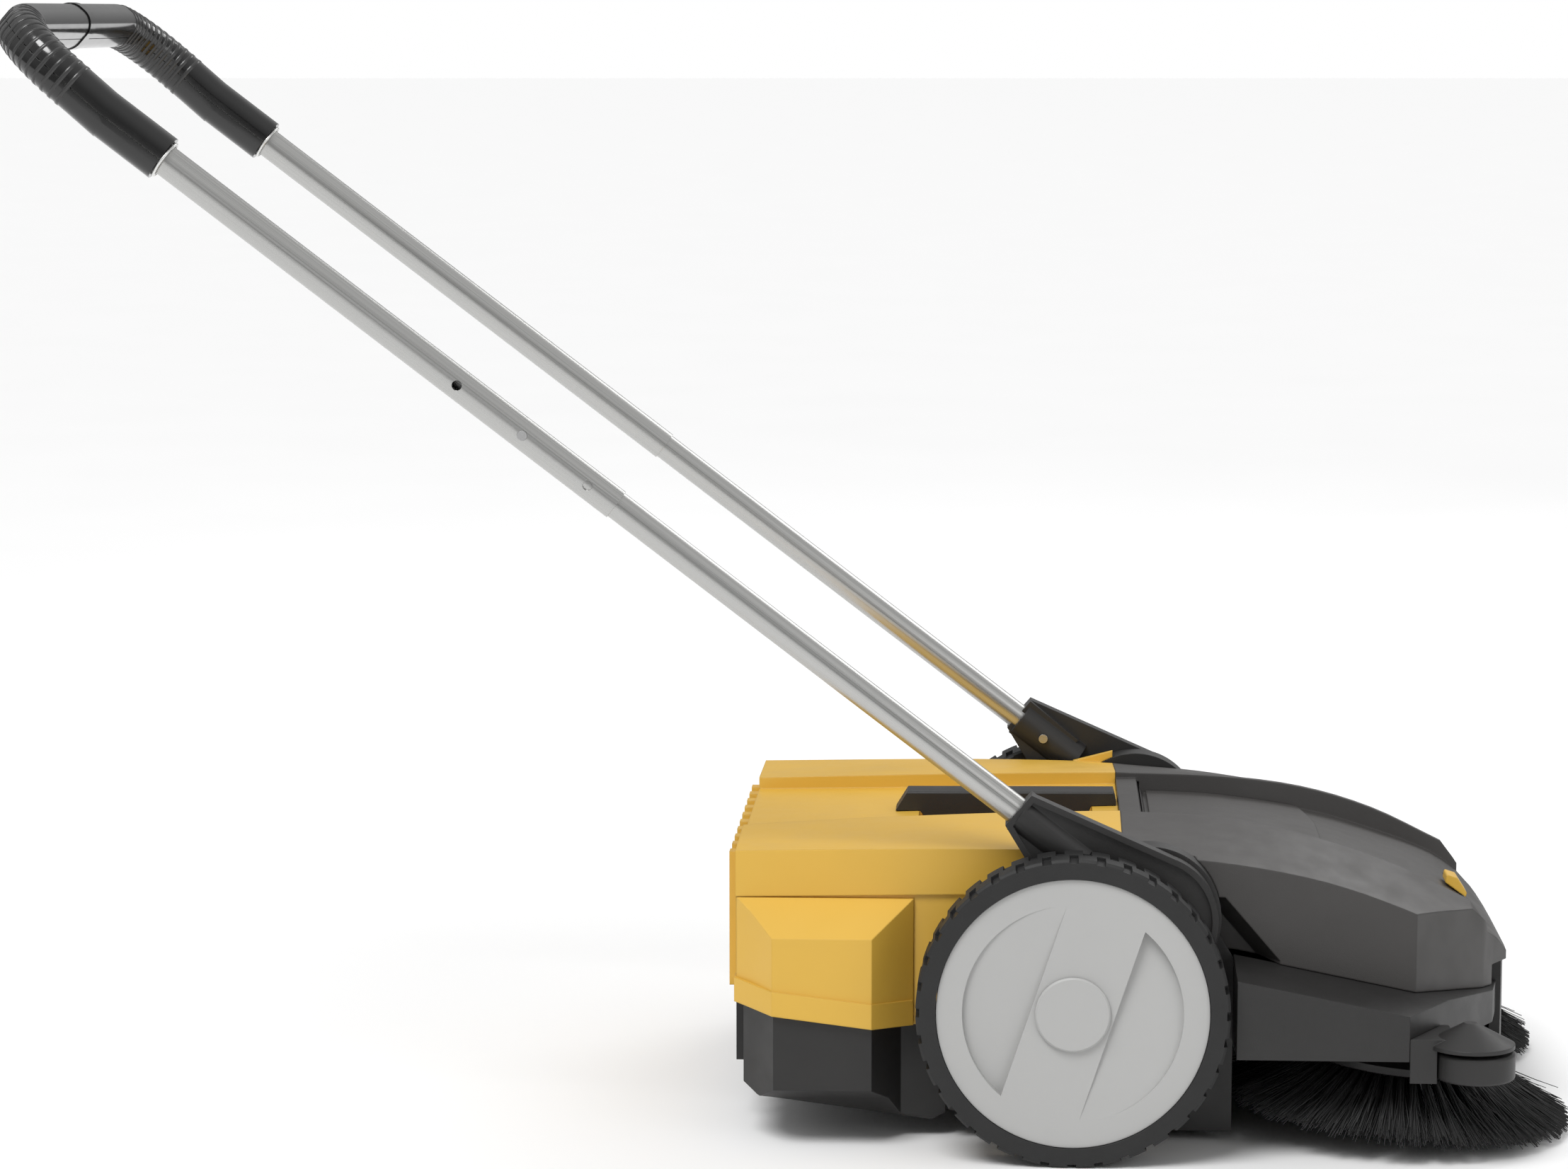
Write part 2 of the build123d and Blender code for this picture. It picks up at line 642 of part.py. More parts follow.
for name in ("right", "left"):
    with BuildPart() as tyre:
        with BuildSketch(level(axle_z)):
            inner = disc_radius + 0.4
            fill([(inner, -wheel_inner_y), (wheel_radius - 2, -wheel_inner_y),
                  (wheel_radius, -wheel_inner_y - 2), (wheel_radius, -wheel_outer_y + 2),
                  (wheel_radius - 2, -wheel_outer_y), (inner, -wheel_outer_y)])
        revolve(axis=Axis((axle_x, 0, axle_z), (0, 1, 0)))
        for start, phase in ((wheel_inner_y, 0), (wheel_inner_y + wheel_width / 2, 0.5)):
            with BuildSketch(side(-start)):
                with Locations((0, axle_z)):
                    with PolarLocations(wheel_radius, tread_blocks,
                                        start_angle=(phase + 0.5) * 360 / tread_blocks):
                        Rectangle(6, 7)
            extrude(amount=wheel_width / 2, mode=Mode.SUBTRACT)
        tidy_mirror(name)
    keep(tyre, name + "_tyre")

    with BuildPart() as wheel_disc:
        with BuildSketch(side(-face_y)):
            with Locations((0, axle_z)):
                Circle(disc_radius)
        extrude(amount=-38)
        with BuildSketch(side(-face_y + 4)):
            with Locations((0, axle_z)):
                Circle(disc_radius - 12)
                Circle(17, mode=Mode.SUBTRACT)
        extrude(amount=-40, mode=Mode.SUBTRACT)
        for turn, deep, shallow in ((0, 9, -0.5), (math.pi, -0.5, 9)):
            extrude(recess_outline(side(-face_y + 4), 2.5, turn), amount=-8.5)
            room = extrude(recess_outline(side(-face_y - 1), 0, turn), amount=-14, mode=Mode.PRIVATE)
            with BuildSketch(across(-110)):
                fill([(-face_y - 2, axle_z - 95), (-face_y - 2, axle_z + 95),
                      (-face_y + deep, axle_z + 95), (-face_y + shallow, axle_z - 95)])
            slope = extrude(amount=220, mode=Mode.PRIVATE)
            add(room & slope, mode=Mode.SUBTRACT)
        with BuildSketch(side(-face_y)):
            with Locations((0, axle_z)):
                Circle(axle_radius + running_gap)
        extrude(amount=-38, mode=Mode.SUBTRACT)
        with BuildSketch(side(-face_y)):
            with Locations((0, axle_z)):
                Circle(13.6)
        extrude(amount=-(face_y - wheel_outer_y + 11.4 + part_gap), mode=Mode.SUBTRACT)
        tidy_mirror(name)
    keep(wheel_disc, name + "_wheel_disc")

    with BuildPart() as hub_cap:
        with BuildSketch(side(-face_y - 0.2)):
            with Locations((0, axle_z)):
                Circle(cap_radius)
        extrude(amount=3.6)
        chamfer(hub_cap.edges().group_by(Axis.Y)[0], 1.4)
        with BuildSketch(side(-face_y - 0.2)):
            with Locations((0, axle_z)):
                Circle(13.2)
                Circle(11, mode=Mode.SUBTRACT)
        extrude(amount=-4)
        tidy_mirror(name)
    keep(hub_cap, name + "_hub_cap")

    with BuildPart() as ring_gear:
        with BuildSketch(side(-ring_y)):
            with Locations((0, axle_z)):
                Circle(ring_r + 7)
        extrude(amount=14)
        hole = gear_outline(shaft_end(0, -ring_y, axle_z), ring_teeth, ring_r + 2.5, ring_r - 1.2,
                            math.pi * gear_module / 2 + backlash / 2)
        extrude(hole, amount=14, mode=Mode.SUBTRACT)
        with BuildSketch(side(-ring_y - 14)):
            with Locations((0, axle_z)):
                Circle(ring_r + 7)
                Circle(ring_r + 5, mode=Mode.SUBTRACT)
        extrude(amount=face_y - 4 - ring_y - 14 - 0.2)
        tidy_mirror(name)
    keep(ring_gear, name + "_ring_gear")

# ---------------------------------------------------------------- gear train to the disc brushes
lean = (math.cos(tilt), 0, -math.sin(tilt))     # along the drive shaft, forwards
stand = (math.sin(tilt), 0, math.cos(tilt))     # up the brush spindle
shaft_reach = (brush_x - mesh_distance + apex_h * math.sin(tilt)) / math.cos(tilt)
gear_y = ring_y + 0.6
bevel_y = brush_y
pinion_tooth = math.pi * gear_module / 2 - backlash / 2


def bevel_gear(apex, distance, teeth, pitch_r, half_step, width, hub):
    """Bevel gear with a hub behind it."""
    sections = [bevel_outline(apex, distance, along, teeth, pitch_r, half_step)
                for along in (distance, distance - width)]
    with BuildPart() as gear:
        loft(sections, ruled=True)
        with BuildSketch(apex.offset(distance - 0.5)):
            Circle(hub)
        extrude(amount=5)
    return gear.part


def along_shaft(reach):
    """Place on the right-hand drive shaft, at a distance in front of the cross shaft."""
    return (axle_x + mesh_distance + reach * lean[0], -bevel_y, axle_z + reach * lean[2])


for name in ("right", "left"):
    corner = along_shaft(0)
    apex = along_shaft(shaft_reach)
    cross_axis = shaft_end(mesh_distance, -gear_y, axle_z)

    with BuildPart() as cross_shaft:
        with BuildSketch(side(-bevel_y - 7)):
            with Locations((mesh_distance, axle_z)):
                Circle(shaft_radius)
        extrude(amount=gear_y + gear_width + 1 - bevel_y - 7)
        chamfer(cross_shaft.edges().filter_by(GeomType.CIRCLE), 0.8)
        tidy_mirror(name)
    keep(cross_shaft, name + "_cross_shaft")

    with BuildPart() as cross_gears:
        extrude(gear_outline(cross_axis, pinion_teeth, pinion_r + 1.6, pinion_r - 2, pinion_tooth),
                amount=gear_width)
        add(bevel_gear(Plane(origin=corner, x_dir=lean, z_dir=(0, -1, 0)), miter_r, miter_teeth,
                       miter_r, 0, 6, 10))
        with BuildSketch(side(-bevel_y)):
            with Locations((mesh_distance, axle_z)):
                Circle(shaft_radius + 0.02)
        extrude(amount=wheel_inner_y, mode=Mode.SUBTRACT)
        tidy_mirror(name)
    keep(cross_gears, name + "_cross_gears")

    with BuildPart() as drive_shaft:
        with BuildSketch(Plane(origin=along_shaft(7), x_dir=(0, 1, 0), z_dir=lean)):
            Circle(shaft_radius)
        extrude(amount=shaft_reach - 7 - 15)
        tidy_mirror(name)
    keep(drive_shaft, name + "_drive_shaft")

    with BuildPart() as drive_gears:
        add(bevel_gear(Plane(origin=corner, x_dir=(0, -1, 0), z_dir=lean), miter_r, miter_teeth,
                       miter_r, 0.5, 6, 10))
        add(bevel_gear(Plane(origin=apex, x_dir=stand, z_dir=(-lean[0], 0, -lean[2])), crown_r, pinion_teeth,
                       pinion_r, 0, 7, 9))
        with BuildSketch(Plane(origin=corner, x_dir=(0, 1, 0), z_dir=lean)):
            Circle(shaft_radius + 0.02)
        extrude(amount=shaft_reach, mode=Mode.SUBTRACT)
        tidy_mirror(name)
    keep(drive_gears, name + "_drive_gears")

    with BuildPart() as crown_gear:
        add(bevel_gear(Plane(origin=apex, x_dir=(-lean[0], 0, -lean[2]), z_dir=stand), pinion_r, crown_teeth,
                       crown_r, 0.5, 3.5, 12))
        with BuildSketch(Plane(origin=apex, x_dir=lean, z_dir=stand)):
            Circle(spindle_radius + 0.02)
        extrude(amount=30, mode=Mode.SUBTRACT)
        tidy_mirror(name)
    keep(crown_gear, name + "_crown_gear")

    with BuildPart() as brush_spindle:
        with BuildSketch(on_brush(40)):
            Circle(spindle_radius)
        extrude(amount=apex_h + 22 - 40)
        chamfer(brush_spindle.edges().filter_by(GeomType.CIRCLE), 1)
        tidy_mirror(name)
    keep(brush_spindle, name + "_brush_spindle")

    with BuildPart() as brush_plate:
        with BuildSketch(on_brush(38)):
            Circle(brush_plate_radius - 20)
        with BuildSketch(on_brush(46)):
            Circle(brush_plate_radius)
        loft()
        with BuildSketch(on_brush(46)):
            Circle(brush_plate_radius)
        extrude(amount=6)
        with BuildSketch(on_brush(52)):
            Circle(brush_plate_radius)
        with BuildSketch(on_brush(58)):
            Circle(brush_plate_radius - 16)
        loft()
        with BuildSketch(on_brush(57)):
            Circle(18)
        extrude(amount=9)
        with BuildSketch(on_brush(39)):
            Circle(spindle_radius + 0.02)
        extrude(amount=40, mode=Mode.SUBTRACT)
        tidy_mirror(name)
    keep(brush_plate, name + "_brush_plate")

    with BuildPart() as brush_bristles:
        with BuildSketch(Plane(origin=on_brush(0).origin, x_dir=lean, z_dir=(0, -1, 0))):
            fill([(brush_plate_radius + 0.3, 45.5), (brush_plate_radius + 0.3, 51), (96, 38),
                  (brush_radius, bristle_edge), (brush_radius, 0), (brush_radius - 20, 0),
                  (brush_plate_radius - 19.4, 37.6)])
        revolve(axis=Axis(on_brush(0).origin, stand))
        tidy_mirror(name)
    keep(brush_bristles, name + "_brush_bristles")

    # bearing block on the tray that carries both shafts and the spindle
    with BuildPart() as gear_bracket:
        with BuildSketch(level(tray_floor + wall + 0.2)):
            with Locations((209, -bevel_y)):
                Rectangle(152, 72)
        extrude(amount=3.6)
        with BuildSketch(side(-bevel_y - 28)):
            fill([(60, 110), (60, 136), (84, 136), (150, 112), (150, 87.2), (132, 87.2)])
        extrude(amount=8)
        for near in (30, 148):
            foot = along_shaft(near)
            with BuildSketch(across(foot[0] - axle_x)):
                lower = 100 if near < 50 else 87.2
                fill([(-bevel_y - 36, lower), (-bevel_y - 36, foot[2] + 4), (-bevel_y - 10, foot[2] + 10),
                      (-bevel_y + 10, foot[2] + 10), (-bevel_y + 16, foot[2]), (-bevel_y + 16, lower)])
            extrude(amount=8)
        with BuildSketch(on_brush(78)):
            Circle(11)
        extrude(amount=8)
        with BuildSketch(level(60)):
            with Locations((215, -bevel_y)):
                Rectangle(400, 200)
        extrude(amount=tray_floor + wall + 0.2 - 60, mode=Mode.SUBTRACT)
        with BuildSketch(on_brush(60)):
            Circle(spindle_radius + running_gap)
        extrude(amount=50, mode=Mode.SUBTRACT)
        with BuildSketch(Plane(origin=corner, x_dir=(0, 1, 0), z_dir=lean)):
            Circle(shaft_radius + running_gap)
        extrude(amount=shaft_reach - 10, mode=Mode.SUBTRACT)
        with BuildSketch(side(-bevel_y)):
            with Locations((mesh_distance, axle_z)):
                Circle(shaft_radius + running_gap)
        extrude(amount=60, mode=Mode.SUBTRACT)
        tidy_mirror(name)
    keep(gear_bracket, name + "_gear_bracket")

# ---------------------------------------------------------------- fine-dust roller
with BuildPart() as roller_core:
    with BuildSketch(side(gear_y + gear_width + 1)):
        with Locations((roller_x, roller_z)):
            Circle(shaft_radius)
    extrude(amount=gear_y + gear_width + 1 + gear_y + gear_width + 1)
    with BuildSketch(side(cheek_y + 8)):
        with Locations((roller_x, roller_z)):
            Circle(20)
    extrude(amount=-200, mode=Mode.SUBTRACT)
    with BuildSketch(side(cheek_y - cheek_wall - 5)):
        with Locations((roller_x, roller_z)):
            Circle(20)
    extrude(amount=2 * (cheek_y - cheek_wall - 5))
keep(roller_core, "roller_core")

with BuildPart() as roller_bristles:
    with BuildSketch(side(cheek_y - cheek_wall - 6)):
        with Locations((roller_x, roller_z)):
            Circle(roller_z - 0.5)
            Circle(20.3, mode=Mode.SUBTRACT)
    extrude(amount=2 * (cheek_y - cheek_wall - 6))
keep(roller_bristles, "roller_bristles")

with BuildPart() as roller_pinion:
    extrude(gear_outline(shaft_end(roller_x, -gear_y, roller_z), pinion_teeth, pinion_r + 1.6,
                         pinion_r - 2, pinion_tooth, roller_angle), amount=gear_width)
    with BuildSketch(side(-gear_y + 1)):
        with Locations((roller_x, roller_z)):
            Circle(shaft_radius + 0.02)
    extrude(amount=gear_width + 2, mode=Mode.SUBTRACT)
keep(roller_pinion, "roller_pinion")

# ---------------------------------------------------------------- handle, lower part
def beside_tube(s, across_tube, upwards):
    """Point in the side view at a distance along the tube and off its axis."""
    return (pivot_x + tube_offset * math.sin(rise) - s * math.cos(rise) + upwards * math.sin(rise),
            pivot_z + (tube_offset + upwards) * math.cos(rise) + s * math.sin(rise) + across_tube)


def tube_button(s):
    """Place of a hole or a button along the tubes, in the side view."""
    return beside_tube(s, 0, 0)


arm_side = [(-33, 287), (-53.5, 263), (-36, 234), (-25, 224), (11, 163), (pivot_x, pivot_z), (78, 238)]

for name in ("right", "left"):
    with BuildPart() as arm:
        with BuildSketch(side(-drum_outer_y - 2)):
            with Locations((pivot_x, pivot_z)):
                Circle(drum_radius - 3)
            fill(arm_side)
        extrude(amount=arm_outer_y - 4 - drum_outer_y - 2)
        # rim around the disc and along the edges
        with BuildSketch(side(-drum_outer_y - 2)):
            with Locations((pivot_x, pivot_z)):
                Circle(drum_radius - 3)
            fill(arm_side)
            offset(amount=-5, mode=Mode.SUBTRACT)
        extrude(amount=arm_outer_y - drum_outer_y - 2)
        # socket for the lower tube, from beyond the drum to the mouth
        with BuildSketch(side(-226)):
            fill([(-33, 287), (-53.5, 263), (-36, 234), (-22, 224), (10, 252)])
        extrude(amount=12)
        with BuildSketch(on_tube(70)):
            Circle(16.4)
        extrude(amount=mouth_s - 70)
        with BuildSketch(on_tube(inner_start_s)):
            Circle(inner_tube_radius + running_gap)
        extrude(amount=mouth_s, mode=Mode.SUBTRACT)
        with BuildSketch(side(-210)):
            with Locations(tube_button(arm_latch_s)):
                Circle(button_radius + running_gap)
        extrude(amount=20, mode=Mode.SUBTRACT)
        with BuildSketch(side(-drum_outer_y - 1)):
            with Locations((pivot_x, pivot_z)):
                Circle(pivot_bolt_radius + running_gap)
        extrude(amount=30, mode=Mode.SUBTRACT)
        with BuildSketch(side(-arm_outer_y + 4)):
            with Locations((pivot_x, pivot_z)):
                Circle(11.5)
        extrude(amount=10, mode=Mode.SUBTRACT)
        tidy_mirror(name)
    keep(arm, name + "_arm")

    with BuildPart() as lower_tube:
        with BuildSketch(on_tube(inner_start_s + part_gap)):
            Circle(inner_tube_radius)
            Circle(inner_tube_radius - tube_wall, mode=Mode.SUBTRACT)
        extrude(amount=inner_end_s - inner_start_s - part_gap)
        with BuildSketch(side(-210)):
            with Locations(tube_button(arm_latch_s)):
                Circle(button_radius + running_gap)
        extrude(amount=leg_y - 210, mode=Mode.SUBTRACT)
        with BuildSketch(side(-leg_y)):
            with Locations(tube_button(latch_s)):
                Circle(button_radius + running_gap)
        extrude(amount=20, mode=Mode.SUBTRACT)
        tidy_mirror(name)
    keep(lower_tube, name + "_lower_tube")

    # spring clip inside the lower tube: its button latches in the upper tube's holes
    with BuildPart() as snap_clip:
        reach = inner_tube_radius - tube_wall - 1.9
        for start, amount, low, high in ((latch_s - 50, 62, reach, 0.8),
                                         (latch_s - 50, 62, -reach - 0.8, 0.8),
                                         (latch_s - 50, 1, -reach - 0.8, 2 * reach + 1.6)):
            with BuildSketch(on_tube(start)):
                with Locations((-low, 0)):
                    Rectangle(high, 6, align=(Align.MAX, Align.CENTER))
            extrude(amount=amount)
        with BuildSketch(side(-leg_y - reach - 0.4)):
            with Locations(tube_button(latch_s)):
                Circle(button_radius)
        extrude(amount=tube_radius + 1.5 - reach - 0.4)
        tidy_mirror(name)
    keep(snap_clip, name + "_snap_clip")

with BuildPart() as arm_buttons:
    for sign in (-1, 1):
        with BuildSketch(side(sign * 216)):
            with Locations(tube_button(arm_latch_s)):
                Circle(button_radius)
        extrude(amount=sign * (216 - leg_y + inner_tube_radius - tube_wall - 1))
keep(arm_buttons, "arm_buttons")

# ---------------------------------------------------------------- handle, sliding upper part
heading = (-math.cos(steep), 0, math.sin(steep))
kink = on_tube(kink_s).origin
elbow = kink + Vector(*heading) * kink_length
bend_start = elbow - Vector(*heading) * bar_bend
bend_end = elbow + Vector(0, bar_bend, 0)
bend_middle = bend_start + Vector(0, bar_bend, 0) + Vector(*heading) * (bar_bend * math.sin(math.pi / 4))
bend_middle = bend_middle - Vector(0, bar_bend * math.cos(math.pi / 4), 0)


def other_side(point):
    """The same point on the machine's left."""
    return Vector(point.X, -point.Y, point.Z)


def swept(section, first):
    """Sweep a section from beside the right-hand kink, around the bar and back to the left-hand leg."""
    with BuildLine() as path:
        Line(first, bend_start)
        ThreePointArc(bend_start, bend_middle, bend_end)
        Line(bend_end, other_side(bend_end))
        ThreePointArc(other_side(bend_end), other_side(bend_middle), other_side(bend_start))
        Line(other_side(bend_start), other_side(first))
    return sweep(section, path=path.wire())


def grip_section(plane, low, high):
    """Rounded section of the grip around the tube, between two heights."""
    with BuildSketch(plane) as section:
        RectangleRounded(2 * grip_depth, 2 * grip_height, grip_round)
        with Locations((0, (low + high) / 2)):
            Rectangle(60, high - low, mode=Mode.INTERSECT)
        Circle(tube_radius + 0.6, mode=Mode.SUBTRACT)
    return section.sketch


def mitre(amount):
    """Room on one side of the plane that halves the angle at both kinks."""
    middle = (steep + rise) / 2
    with BuildPart() as room:
        with BuildSketch(Plane(origin=(kink.X, 0, kink.Z), x_dir=(0, 1, 0),
                               z_dir=(-math.cos(middle), 0, math.sin(middle)))):
            Rectangle(700, 120)
        extrude(amount=amount)
    return room.part


def tube_solid(radius):
    """Solid rod along the whole U, with a gentle bend at each kink."""
    straight = Vector(-math.cos(rise), 0, math.sin(rise))
    reach = kink_bend * math.tan((steep - rise) / 2)
    middle = (steep + rise) / 2
    inward = (Vector(math.sin(middle), 0, math.cos(middle))
              * (kink_bend / math.cos((steep - rise) / 2) - kink_bend))
    foot = on_tube(outer_start_s).origin
    before = kink - straight * reach
    after = kink + Vector(*heading) * reach
    with BuildPart() as rod:
        with BuildLine() as path:
            Line(foot, before)
            ThreePointArc(before, kink + inward, after)
            Line(after, bend_start)
            ThreePointArc(bend_start, bend_middle, bend_end)
            Line(bend_end, other_side(bend_end))
            ThreePointArc(other_side(bend_end), other_side(bend_middle), other_side(bend_start))
            Line(other_side(bend_start), other_side(after))
            ThreePointArc(other_side(after), other_side(kink + inward), other_side(before))
            Line(other_side(before), other_side(foot))
        with BuildSketch(on_tube(outer_start_s)):
            Circle(radius)
        sweep(path=path.wire())
    return rod.part


with BuildPart() as upper_tube:
    add(tube_solid(tube_radius))
    add(tube_solid(inner_tube_radius + running_gap), mode=Mode.SUBTRACT)
    for sign in (-1, 1):
        with BuildSketch(side(sign * leg_y)):
            with Locations(tube_button(latch_s - hole_pitch), tube_button(latch_s),
                           tube_button(latch_s + hole_pitch)):
                Circle(button_radius + running_gap)
        extrude(amount=-sign * 20, mode=Mode.SUBTRACT)
keep(upper_tube, "upper_tube")

for name, low, high in (("grip_top", -30, -0.3), ("grip_bottom", 0.3, 30)):
    with BuildPart() as grip:
        leg = extrude(grip_section(on_tube(grip_start_s), low, high), amount=kink_s + 8 - grip_start_s,
                      mode=Mode.PRIVATE)
        leg = leg - mitre(60)
        start = kink - Vector(*heading) * 8
        bow = swept(grip_section(Plane(origin=start, x_dir=(0, 1, 0), z_dir=heading), low, high), start)
        add(bow - mitre(-60))
        add(leg)
        add(leg.mirror(Plane.XZ))
    keep(grip, name)

with BuildPart() as grip_band:
    with BuildSketch(Plane(origin=(elbow.X, -10, elbow.Z), x_dir=heading, z_dir=(0, 1, 0))):
        RectangleRounded(2 * (grip_depth + band_wall), 2 * (grip_height + band_wall), grip_round + band_wall)
        RectangleRounded(2 * (grip_depth + 0.15), 2 * (grip_height + 0.15), grip_round + 0.15,
                         mode=Mode.SUBTRACT)
    extrude(amount=20)
keep(grip_band, "grip_band")

# ---------------------------------------------------------------- guide rollers at the front corners
for name in ("right", "left"):
    with BuildPart() as roller_bracket:
        with BuildSketch(level(67)):
            fill([(262.5, -277), (291, -225), (297, -225), (291, -277)])
            with Locations((guide_x, -guide_y)):
                Circle(guide_radius + 2, mode=Mode.SUBTRACT)
        extrude(amount=94 - 67)
        with BuildSketch(level(94)):
            fill([(262.5, -277), (291, -225), (297, -225), (300, -277)])
        extrude(amount=8)
        with BuildSketch(level(94)):
            with Locations((guide_x - 3, -guide_y)):
                Circle(guide_radius + 2.5)
        with BuildSketch(level(97)):
            with Locations((guide_x - 3, -guide_y)):
                Circle(guide_radius + 2.5)
        loft()
        with BuildSketch(level(97)):
            with Locations((guide_x - 3, -guide_y)):
                Circle(guide_radius + 2.5)
        with BuildSketch(level(113)):
            with Locations((guide_x - 4, -guide_y)):
                Circle(5)
        loft()
        with BuildSketch(level(60)):
            with Locations((guide_x, -guide_y)):
                Circle(4 + running_gap)
        extrude(amount=44, mode=Mode.SUBTRACT)
        # keeps clear of the tray's corner
        with BuildSketch(level(60)):
            fill([(262.3, -277.4), (342, -133.2), (200, -133), (200, -277.4)])
        extrude(amount=60, mode=Mode.SUBTRACT)
        tidy_mirror(name)
    keep(roller_bracket, name + "_roller_bracket")

    with BuildPart() as guide_roller:
        with BuildSketch(level(guide_z)):
            with Locations((guide_x, -guide_y)):
                Circle(guide_radius)
        extrude(amount=guide_height)
        fillet(guide_roller.edges().filter_by(GeomType.CIRCLE), 3)
        with BuildSketch(level(guide_z - 1)):
            with Locations((guide_x, -guide_y)):
                Circle(4 + running_gap)
        extrude(amount=guide_height + 2, mode=Mode.SUBTRACT)
        tidy_mirror(name)
    keep(guide_roller, name + "_guide_roller")

with BuildPart() as guide_pins:
    for sign in (-1, 1):
        with BuildSketch(level(guide_z - 3.4)):
            with Locations((guide_x, sign * guide_y)):
                Circle(8)
        extrude(amount=3)
        with BuildSketch(level(guide_z - 1)):
            with Locations((guide_x, sign * guide_y)):
                Circle(4)
        extrude(amount=34)
keep(guide_pins, "guide_pins")
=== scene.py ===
"""Looks of the push sweeper: materials, bristles, grip ribs, small trim, floor, light and camera.

Laid out as an add-on and run as a script. Metres, in the CAD frame: +X forwards, +Y to the machine's left.
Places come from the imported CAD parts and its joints, with the few sizes below that these do not give.
"""
import json
import math
import random

import bpy
from mathutils import Matrix, Vector


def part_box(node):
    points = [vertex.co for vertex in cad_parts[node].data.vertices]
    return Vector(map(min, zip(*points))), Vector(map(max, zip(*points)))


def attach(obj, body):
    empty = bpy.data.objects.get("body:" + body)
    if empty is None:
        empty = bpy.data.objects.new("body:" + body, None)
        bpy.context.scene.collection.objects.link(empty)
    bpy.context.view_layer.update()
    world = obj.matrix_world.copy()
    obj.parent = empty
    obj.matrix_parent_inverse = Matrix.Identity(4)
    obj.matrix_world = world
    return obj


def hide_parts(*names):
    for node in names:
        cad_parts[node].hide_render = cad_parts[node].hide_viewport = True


bl_info = {
    "name": "Push sweeper looks",
    "version": (1, 0, 0),
    "blender": (4, 5, 0),
    "location": "3D View > Sidebar > Sweeper",
    "description": "Materials, bristles, grip ribs and trim of a push sweeper around its CAD parts",
    "category": "Object",
}

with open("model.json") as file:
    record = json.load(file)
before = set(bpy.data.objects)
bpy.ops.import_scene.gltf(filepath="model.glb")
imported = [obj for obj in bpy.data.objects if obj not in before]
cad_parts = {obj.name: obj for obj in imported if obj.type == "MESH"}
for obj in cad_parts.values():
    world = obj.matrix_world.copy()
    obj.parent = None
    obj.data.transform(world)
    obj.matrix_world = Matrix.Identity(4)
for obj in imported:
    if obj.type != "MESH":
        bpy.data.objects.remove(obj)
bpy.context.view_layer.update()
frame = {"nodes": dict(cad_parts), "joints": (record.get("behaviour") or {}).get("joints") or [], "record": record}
SIDES = (("right", -1.0), ("left", 1.0))


def middle(node):
    """Middle of a CAD node's box."""
    low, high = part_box(node)
    return (low + high) / 2


def joint(name):
    """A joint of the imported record."""
    return next(j for j in frame["joints"] if j["name"] == name)


AXLE = middle("axle")
TILT = math.atan2(joint("right_brush_spin")["axis"][0], joint("right_brush_spin")["axis"][2])
RISE = math.atan2(joint("handle_extend")["axis"][2], -joint("handle_extend")["axis"][0])


def at_axle(x, y, z):
    """A place in millimetres, with x counted forwards from the axle."""
    return Vector((AXLE.x + x / 1000, y / 1000, z / 1000))


# sizes that the boxes of the parts don't give, in metres and radians
TUBE_RADIUS = 0.0125
TUBE_OFFSET = 0.0044      # the tubes' axis above the hinge axis
KINK = math.radians(4)    # the grip rises this much more steeply than the tubes
GRIP_START = 0.9735       # lower end of the grip, along the tubes from the hinge
GRIP_BEND = 0.062         # bend radius at the grip's corners
RIB_FIRST, RIB_LAST = -6, 78  # degrees around each corner
SINK = 0.0006             # how deep ribs and collars start under the surface

# each row of tufts: radius and height of its roots, radius of its tips
BRUSH_ROWS = ((0.0765, 0.0455, 0.1375), (0.0700, 0.0425, 0.127), (0.0635, 0.0395, 0.116))
BRUSH_REACH = 0.1385      # no hair reaches further out
TUFT_LIFT = 0.005         # the tufts' tips end at up to this height
STRAY_SHARE = 0.05        # share of hairs that stick up
STRAY_LIFT = 0.012

ROLLER_ROWS = 10
ROLLER_TUFTS = 96         # in each row
ROLLER_HAIRS = 5          # in each tuft
ROLLER_CORE = 0.019       # radius where the hairs start
ROLLER_END = 0.003
ROLLER_SLANT = 0.75       # how far a row turns from the middle to each end

HOOD_FALL, HOOD_RUN = 35.5, 104  # slope of the hood under the height marks


# ------------------------------------------------------------------ colours and materials
def linear(colour):
    """Linear RGBA from an sRGB hex text or an sRGB triple."""
    if isinstance(colour, str):
        text = colour.lstrip("#")
        colour = [int(text[i:i + 2], 16) / 255 for i in (0, 2, 4)]
    line = [c / 12.92 if c <= 0.04045 else ((c + 0.055) / 1.055) ** 2.4 for c in colour[:3]]
    return (*line, 1.0)


class Nodes:
    """Small helper that adds shader or geometry nodes to a tree and links them."""

    def __init__(self, tree):
        self.tree = tree

    def add(self, kind, **values):
        node = self.tree.nodes.new(kind)
        for key, value in values.items():
            setattr(node, key, value)
        return node

    def link(self, a, b):
        self.tree.links.new(a, b)


def socket(sockets, identifier):
    """The socket with that identifier."""
    return next(s for s in sockets if s.identifier == identifier)


def new_material(name):
    """An empty node material with a Principled shader, its helper and the Object coordinates."""
    material = bpy.data.materials.new(name)
    material.use_nodes = True
    tree = material.node_tree
    tree.nodes.clear()
    n = Nodes(tree)
    out = n.add("ShaderNodeOutputMaterial")
    shader = n.add("ShaderNodeBsdfPrincipled")
    n.link(shader.outputs["BSDF"], out.inputs["Surface"])
    coords = n.add("ShaderNodeTexCoord")
    return material, n, shader, coords.outputs["Object"]


